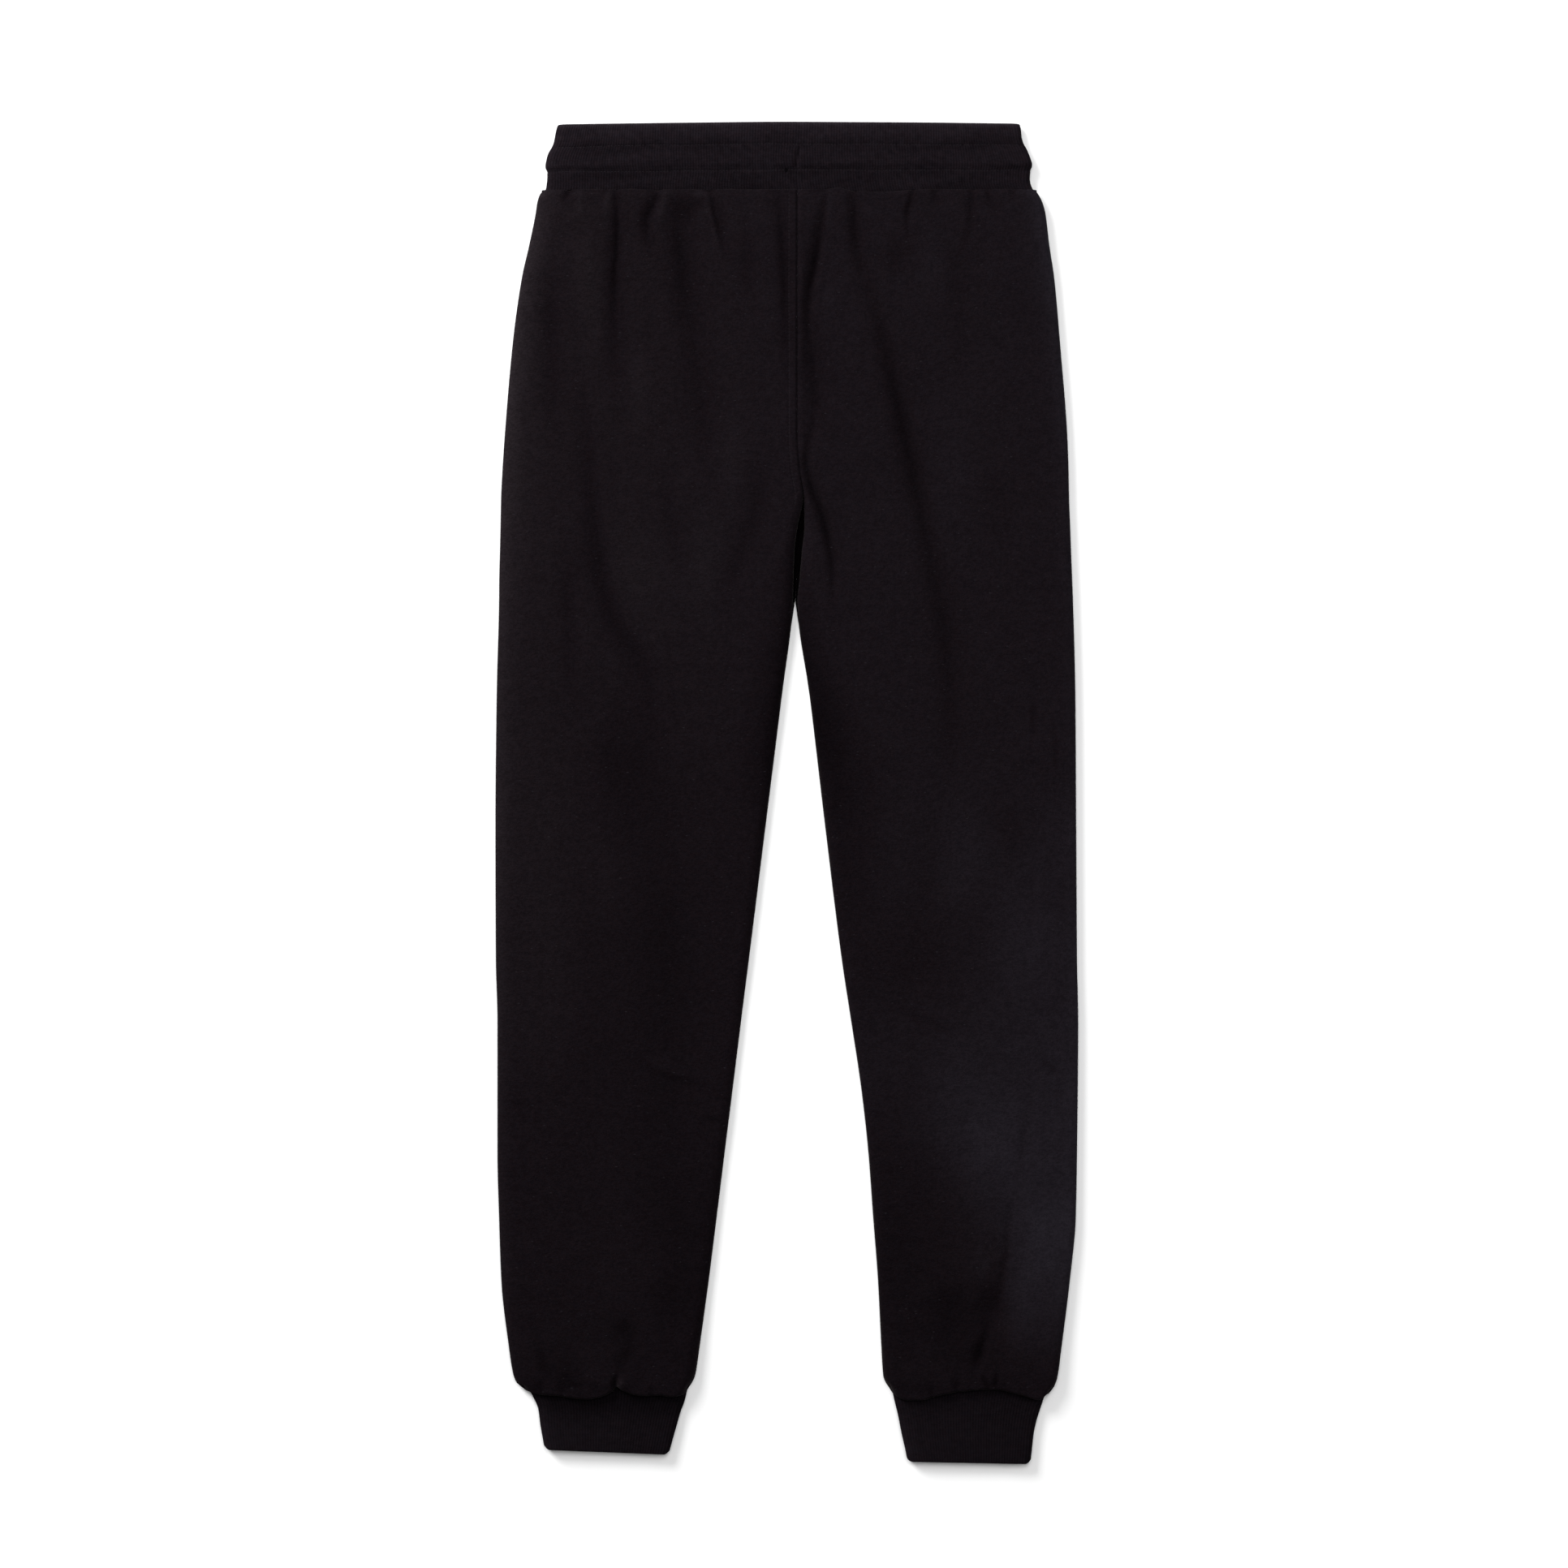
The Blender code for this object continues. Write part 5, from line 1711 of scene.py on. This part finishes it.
    def relief(self, x: np.ndarray, down: np.ndarray) -> np.ndarray:
        """Creases of the band: its centre-back seam, a pinch, and uneven fullness.

        Args:
            x: Places across.
            down: Distances down, of the same shape.

        Returns:
            The height that they add.
        """
        start, end = self.middle_tier
        in_tier = start.at(down) * (1 - end.at(down))
        lean_from, lean_over = self.seam_leaning
        off = x - self.seam_x - self.seam_lean * np.clip((lean_from - down) / lean_over, 0, 1)
        groove, line = (bump.at(off) for bump in self.seam_bumps)
        pinch = self.pinch_bump.at(np.hypot(x - self.pinch[0], down - self.pinch[1]))
        uneven = self.fullness.at(x, 3.0 * down) + self.sag.at(x) * in_tier
        stitched = sum(
            Bump(row, self.stitch_width, -self.stitch_depth).at(down) for row in self.stitch_rows
        )
        return groove * in_tier + line + pinch + uneven + stitched

    def lift(self, x: np.ndarray, down: np.ndarray, top: np.ndarray) -> np.ndarray:
        """Painted light and shade on the knit: painted highlight along the top fold, painted shade under
        the stitching.

        Args:
            x: Places across.
            down: Distances down before the rows stray.
            top: 1 on top of the band and 0 underneath.

        Returns:
            The lift at each place.
        """
        tiers = Curve(*zip(*self.shades)).at(down)
        dark, across, along = self.PINCH_SHADE
        pinch = np.hypot((x - self.pinch[0]) / across, (down - self.pinch[1]) / along)
        ends = sum(
            lift * np.exp(-np.clip((x - fold_x) * -np.sign(fold_x), 0, None) / reach)
            for fold_x, lift, reach in self.SIDE_SHADES
        )
        ends = ends * self.SIDE_START.at(down)
        right_shade = self.PAINTED_RIGHT_SHADE * self.PAINTED_RIGHT_SHADE_ACROSS.at(x) * (1 - self.PAINTED_RIGHT_SHADE_END.at(down))
        worn = sum(ripple.at(x, stretch * down) for ripple, stretch in self.WEAR)
        return top * (tiers - dark * np.exp(-(pinch**2)) + ends - right_shade + worn)

    def droop(self, x: np.ndarray, down: np.ndarray) -> np.ndarray:
        """How far the band's lower edge hangs down where the seat is full."""
        return -DROOP.at(x) * self.drooping.at(down)

    def sway(self, x: np.ndarray, down: np.ndarray) -> np.ndarray:
        """How far the ribs lean sideways, most beside the seam and in the lowest tier.

        Args:
            x: Places across.
            down: Distances down, of the same shape.

        Returns:
            How far each place moves towards +X.
        """
        start, end = self.stitch_rows
        tier = np.sin(np.clip((down - start) / (end - start), 0, 1) * math.pi)
        by_seam = (x - self.seam_x) / self.seam_reach
        bent = self.seam_bend * tier * by_seam * np.exp(-(by_seam**2))
        slant = self.slant.at(x) * self.slanted.at(down)
        return bent + slant + self.wander.at(x, down * 160.0) * tier

    def upright(self, x: np.ndarray, down: np.ndarray) -> np.ndarray:
        """How far a rib moves out to stand straight above the lower stitched row.

        Args:
            x: Places across.
            down: Distances down, of the same shape.

        Returns:
            How far each place moves towards +X.
        """
        sides = curves(self.outline, "left", "right")
        wide = np.where(x < 0, *(np.abs(side.at(down)) for side in sides))
        full = np.where(x < 0, *(np.abs(side.at(self.stitch_rows[1])) for side in sides))
        share = 1 - self.leaning.at(np.abs(x))
        return x * (full / wide - 1) * share * (down < self.stitch_rows[1])

    def down_of(self, x: np.ndarray, down: np.ndarray) -> np.ndarray:
        """Distances down once the top edge is bowed and the stitched rows stray.

        Args:
            x: Places across.
            down: Distances down of the straight rows.

        Returns:
            The distance down of each place.
        """
        strays = [Curve(self.drift_x, values).at(x) for _, values in self.drifts]
        waver = sum(wave.at(x) for wave in self.wavers)
        strays[1], strays[2] = strays[1] + waver, strays[2] - waver
        moved = down.copy()
        for (start, _), (end, _), before, after in zip(
            self.drifts, self.drifts[1:], strays, strays[1:]
        ):
            share = (down - start) / (end - start)
            inside = (share > 0) & (share <= 1) if start else share <= 1
            moved += np.where(inside, before + (after - before) * share, 0.0)
        return moved

    def surface(self, x: np.ndarray, down: np.ndarray) -> np.ndarray:
        """Height of the band's top along its flat part."""
        return curves(self.outline, "height")[0].at(down) + self.relief(x, down)

    def build(self) -> bpy.types.Object:
        """Make the band.

        Returns:
            The band.
        """
        rows = self.rows()
        downs = np.array([row.down for row in rows])
        shaped = rounded(rows, np.clip(1 - downs / self.FOLD, 0, 1))
        x, z, top = self.tube.ring(shaped, self.relief, np.full(len(rows), RIB_HEIGHT))
        down = downs[:, None] + 0 * x
        x = x + (self.sway(x, down) + self.upright(x, down)) * top
        maker = MeshMaker()
        lift = self.lift(x, down, top) + self.tube.painted_rib_shade()
        hung = self.down_of(x, down) + self.droop(x, down) * top
        outer = maker.grid(place(x, hung, z), closed=True, lift=lift)
        x, z = self.tube.lining(rows)
        inner = maker.grid(place(x, self.down_of(x, downs[:, None] + 0 * x), z), closed=True)
        maker.rim(outer, inner, closed=True)
        return maker.make("waistband")

    def dress(self, rib: bpy.types.Material) -> bpy.types.Object:
        """Build the band and finish it with its cloth.

        Args:
            rib: The rib knit.

        Returns:
            The finished piece.
        """
        piece = self.build()
        dressed(piece, rib, "waistband")
        return piece


CUFF_ROWS = {  # with down as a share of the way from the leg to the hem
    Hand.LEFT: (
        TubeRow(0.00, -0.1930, -0.0738, 0.0057), TubeRow(0.12, -0.1896, -0.0752, 0.0064),
        TubeRow(0.34, -0.1852, -0.0792, 0.0071), TubeRow(0.60, -0.1836, -0.0828, 0.0078),
        TubeRow(0.90, -0.1812, -0.0866, 0.0082), TubeRow(1.00, -0.1804, -0.0878, 0.0082),
    ),
    Hand.RIGHT: (
        TubeRow(0.00, 0.0786, 0.1935, 0.0061), TubeRow(0.14, 0.0804, 0.1904, 0.0067),
        TubeRow(0.34, 0.0832, 0.1868, 0.0071), TubeRow(0.60, 0.0856, 0.1838, 0.0078),
        TubeRow(0.90, 0.0886, 0.1820, 0.0082), TubeRow(1.00, 0.0894, 0.1814, 0.0082),
    ),
}


@dataclass
class Cuff:
    """One ribbed ankle cuff, tucked under the gathered end of its leg."""

    hand: Hand
    rows: int = 36
    tuck: float = 0.0060
    wall: float = 0.0026
    length: float = 0.045
    unevenness: Ripple = Ripple(0.00022, 0.045, 31)

    FOLD = 0.030     # share of the length over which the hem's fold is rounded
    TUCKED = 0.0062  # height above which the cloth is tucked in full
    CORNER = 0.0040  # how far in from its side the hem is rounded up
    CORNER_RISE = 0.0022
    HEM_ENDS = {     # x, and distance down, of the hem's two ends
        Hand.LEFT: ((-0.182, -0.087), (0.9893, 0.9930)),
        Hand.RIGHT: ((0.088, 0.182), (0.9982, 1.0000)),
    }
    UNDER_LEG = {Hand.LEFT: (0.22, 0.50), Hand.RIGHT: (0.05, 0.34)}  # painted shadow under the leg's end: how dark, and how far
    DARKENED = 0.40   # how much darker the cuff is all over
    LEFT_LIGHT = 0.16    # painted light: how much lighter the hem is towards its left side
    SIDE = (0.34, 0.05)  # painted highlight on the left side: how light, and how far in

    @property
    def name(self) -> str:
        """Name of the node that this piece stands for."""
        return "cuff_" + self.hand.value

    def hem_down(self, x: np.ndarray) -> np.ndarray:
        """The hem, a little out of square and rounded up at its corners.

        Args:
            x: Places across.

        Returns:
            Distances down of the hem.
        """
        straight = np.interp(x, *self.HEM_ENDS[self.hand])
        ends = CUFF_ROWS[self.hand][-1]
        inside = np.minimum(x - ends.left, ends.right - x)
        corner = np.clip(1 - inside / self.CORNER, 0, 1)
        return straight - self.CORNER_RISE * corner**2

    def down_of(self, x: np.ndarray, z: np.ndarray, share: np.ndarray) -> np.ndarray:
        """Distance down of each point: tucked under the leg on top, butted underneath.

        Args:
            x: Places across.
            z: Heights.
            share: How far from the leg to the hem.

        Returns:
            The distance down of each point.
        """
        under = np.clip(z / self.TUCKED, 0, 1)
        start = CUT.hem[self.hand].at(x) + SEAM_GAP - self.tuck * under
        return start + share * (self.hem_down(x) - start)

    def relief(self, x: np.ndarray, share: np.ndarray) -> np.ndarray:
        """Slight unevenness."""
        return self.unevenness.at(x, self.length * share)

    def lift(self, x: np.ndarray, share: np.ndarray, top: np.ndarray) -> np.ndarray:
        """Painted light and shade on the knit: painted shadow under the leg's end, painted light towards
        the left, and darker all over.

        Args:
            x: Places across.
            share: How far from the leg to the hem.
            top: 1 on top of the cuff and 0 underneath.

        Returns:
            The lift at each place.
        """
        ends = CUFF_ROWS[self.hand][-1]
        across = np.clip((x - ends.left) / (ends.right - ends.left), 0, 1)
        dark, reach = self.UNDER_LEG[self.hand]
        tuck = dark * (0.4 + 0.6 * smooth_step(share / 0.2)) * (1 - Ease(0.22, reach).at(share))
        side, side_reach = self.SIDE
        left_light = self.LEFT_LIGHT * (1 - across) * share + side * np.exp(-across / side_reach) * share
        return (left_light - self.DARKENED - tuck) * (0.3 + 0.7 * top)

    def build(self) -> bpy.types.Object:
        """Make the cuff.

        Returns:
            The cuff.
        """
        outline = CUFF_ROWS[self.hand]
        ribs = round((outline[-1].right - outline[-1].left) / RIB_PITCH) + 4
        tube = RibbedTube(
            self.name, ribs, self.wall, points_a_rib=6, under_points_a_rib=4,
            lining_points=30, rib_shade=0.15,
        )
        shares = np.unique(np.concatenate((
            np.linspace(0, 1 - self.FOLD, self.rows),
            1 - self.FOLD * (1 - np.cos(np.linspace(math.pi / 2, 0, 5))),
        )))
        parts = [curve.at(shares) for curve in curves(outline, "left", "right", "height")]
        plain = [TubeRow(*map(float, row)) for row in zip(shares, *parts)]
        shaped = rounded(plain, np.clip(1 - (1 - shares) / self.FOLD, 0, 1))
        x, z, top = tube.ring(shaped, self.relief, np.full(len(shares), RIB_HEIGHT))
        maker = MeshMaker()
        share = shares[:, None] + 0 * x
        lift = self.lift(x, share, top) + tube.painted_rib_shade()
        outer = maker.grid(place(x, self.down_of(x, z, share), z), closed=True, lift=lift)
        x, z = tube.lining(plain)
        share = shares[:, None] + 0 * x
        inner = maker.grid(place(x, self.down_of(x, z, share), z), closed=True)
        maker.rim(outer, inner, closed=True)
        return maker.make(self.name)

    def dress(self, rib: bpy.types.Material) -> bpy.types.Object:
        """Build the cuff and finish it with its cloth.

        Args:
            rib: The rib knit.

        Returns:
            The finished piece.
        """
        piece = self.build()
        dressed(piece, rib, self.name)
        return piece


# --- sewing --------------------------------------------------------------------------


@dataclass
class StitchRow:
    """A row of lockstitches along a path."""

    name: str
    length: float = 0.0019
    gap: float = 0.0007
    thickness: float = 0.00030

    BLUNT = 0.6    # below 1 for blunt ends
    DIP = 0.0006   # how far the ends would dip at a stitch's length from its middle
    SKEW = 0.12    # how far the stitches stray from the row, as a slope
    STRAY = 2.4    # radians from one stitch to the next in how they stray
    AHEAD = 0.0008  # how far along the path a stitch looks for its way

    def stitch(self) -> tuple[np.ndarray, list[tuple[int, ...]]]:
        """One stitch, along Y.

        Returns:
            Its points and its faces.
        """
        bpy.ops.mesh.primitive_uv_sphere_add(segments=8, ring_count=6, radius=0.5)
        made = bpy.context.active_object
        points = np.array([(x, z, -y) for x, y, z in (v.co for v in made.data.vertices)])
        faces = sorted(tuple(face.vertices) for face in made.data.polygons)
        bpy.data.objects.remove(made)
        along = np.sign(points[:, 1]) * np.abs(2 * points[:, 1]) ** self.BLUNT / 2
        across, up = points[:, 0] * self.thickness, points[:, 2] * self.thickness
        points = np.stack((across, along * self.length, up), axis=1)
        points[:, 2] -= self.DIP * (points[:, 1] / self.length) ** 2
        return points, faces

    def build(self, path: np.ndarray) -> bpy.types.Object:
        """Lay stitches along a path.

        Args:
            path: Points close together, in the frame.

        Returns:
            The joined stitches.
        """
        points, faces = self.stitch()
        steps = np.linalg.norm(np.diff(path, axis=0), axis=1)
        lengths = np.concatenate(([0.0], np.cumsum(steps)))
        count = int(lengths[-1] / (self.length + self.gap))
        centres = (np.arange(count) + 0.5) * (self.length + self.gap)
        maker = MeshMaker()
        for number, centre in enumerate(centres):
            at, ahead = (
                np.array([np.interp(where, lengths, path[:, axis]) for axis in range(3)])
                for where in (centre, centre + self.AHEAD)
            )
            along = ahead - at
            along /= np.linalg.norm(along)
            across = np.cross(along, (0.0, 0.0, 1.0))
            across /= np.linalg.norm(across)
            up = np.cross(across, along)
            skew = self.SKEW * math.sin(number * self.STRAY)
            turned = points @ np.stack((across + skew * along, along, up))
            maker.copy(at + turned, faces)
        return maker.make(self.name)


@dataclass
class Topstitch:
    """The topstitching beside the rise seam."""

    panel: BackPanel
    start: float = 0.0545
    end: float = RISE_END - 0.001
    points: int = 320
    proud: float = 0.00002  # how far the thread's middle stands off the cloth

    def path(self) -> np.ndarray:
        """Follow the row.

        Returns:
            Points along it, on the panel's face.
        """
        down = np.linspace(self.start, self.end, self.points)
        x = CUT.inner[self.panel.hand].at(down) - self.panel.hand.inward * TOPSTITCH_SETBACK
        return place(x, down, self.panel.surface(x, down) + self.proud)

    def dress(self, thread: bpy.types.Material) -> bpy.types.Object:
        """Sew the row and finish it.

        Args:
            thread: Its thread.

        Returns:
            The row.
        """
        piece = StitchRow("rise_topstitch").build(self.path())
        dressed(piece, thread)
        return piece


@dataclass
class BandStitching:
    """One stitched row across the back of the waistband."""

    band: Waistband
    number: int
    left: float = -0.1705
    right: float = 0.1735
    points: int = 700
    sunk: float = 0.00015  # how far the thread's middle is below the ribs

    def path(self) -> np.ndarray:
        """Follow the row.

        Returns:
            Points along it, in its groove.
        """
        x = np.linspace(self.left, self.right, self.points)
        down = np.full(len(x), self.band.stitch_rows[self.number])
        z = self.band.surface(x, down) - self.sunk
        return place(x, self.band.down_of(x, down), z)

    def dress(self, thread: bpy.types.Material) -> bpy.types.Object:
        """Sew the row and finish it.

        Args:
            thread: Its thread.

        Returns:
            The row.
        """
        piece = StitchRow(f"band_stitching_{self.number + 1}").build(self.path())
        dressed(piece, thread)
        return piece


# --- studio --------------------------------------------------------------------------


@dataclass(frozen=True)
class Lamp:
    """A round softbox that faces the middle of the garment."""

    name: str
    power: float
    size: float
    place: tuple[float, float, float]


@dataclass
class Studio:
    """White floor, softboxes at the upper left and overhead, even fill, and the camera."""

    image_size: int = 1932
    pixel: float = 0.000605          # real size of one image pixel
    aim: tuple[float, float] = (-0.0021, 0.0066)
    lens: float = 90.0
    sensor: float = 36.0
    cloth_height: float = 0.004      # height of the cloth at which the pixel's size holds
    floor_size: float = 14.0
    floor_height: float = -0.0002
    lamps: tuple[Lamp, ...] = (
        Lamp("key", 180.0, 1.90, (-2.15, 2.25, 1.54)),
        Lamp("overhead", 60.0, 2.00, (0.20, 1.05, 3.10)),
        Lamp("side", 10.0, 1.20, (1.90, 0.10, 0.80)),
    )
    fill_strength: float = 0.30

    def camera(self) -> None:
        """Hang the camera straight above the garment."""
        data = bpy.data.cameras.new("camera")
        data.lens = self.lens
        data.sensor_width = self.sensor
        made = bpy.data.objects.new("camera", data)
        width = self.image_size * self.pixel
        distance = width * self.lens / self.sensor
        made.location = (*self.aim, distance + self.cloth_height)
        bpy.context.scene.collection.objects.link(made)
        bpy.context.scene.camera = made

    def floor(self, finish: PaleFloor) -> None:
        """Lay the floor.

        Args:
            finish: Its finish.
        """
        bpy.ops.object.select_all(action="DESELECT")
        place_at = (0.0, 0.0, self.floor_height)
        bpy.ops.mesh.primitive_plane_add(size=self.floor_size, location=place_at)
        made = bpy.context.active_object
        made.name = "floor"
        made.data.materials.append(finish.material())

    def lights(self) -> None:
        """Set the lamps and the even fill."""
        for lamp in self.lamps:
            data = bpy.data.lights.new(lamp.name, "AREA")
            data.shape = "DISK"
            data.size = lamp.size
            data.energy = lamp.power
            made = bpy.data.objects.new(lamp.name, data)
            made.location = lamp.place
            made.rotation_euler = Vector(lamp.place).to_track_quat("Z", "Y").to_euler()
            bpy.context.scene.collection.objects.link(made)
        world = bpy.data.worlds.new("studio")
        bpy.context.scene.world = world
        world.use_nodes = True
        background = world.node_tree.nodes["Background"]
        background.inputs["Color"].default_value = (1.0, 1.0, 1.0, 1.0)
        background.inputs["Strength"].default_value = self.fill_strength

    def build(self) -> None:
        """Set up everything round the garment."""
        bpy.context.scene.view_settings.view_transform = "Standard"
        self.camera()
        self.floor(PaleFloor())
        self.lights()


def main() -> None:
    """Build the garment piece by piece, then the studio."""
    logging.basicConfig(level=logging.INFO, format="%(name)s: %(message)s")
    Studio().build()
    fleece = Fleece().material()
    rib = RibKnit().material()
    thread = Thread().material()
    # a darker copy of the thread: painted shade on the topstitching sunk in the pile
    sunken = Thread("shaded_thread", (0.0088, 0.0074, 0.0088)).material()
    band = Waistband()
    made = [band.dress(rib)]
    for hand in Hand:
        panel = BackPanel(hand)
        made.append(panel.dress(fleece))
        if hand is Hand.LEFT:
            made.append(Topstitch(panel).dress(sunken))
        made.append(FrontPanel(hand).dress(fleece))
        made.append(Cuff(hand).dress(rib))
    made.extend(BandStitching(band, number).dress(thread) for number in range(2))
    for piece in made:
        LOG.info("%s: %d faces", piece.name, len(piece.data.polygons))


if __name__ == "__main__":
    main()
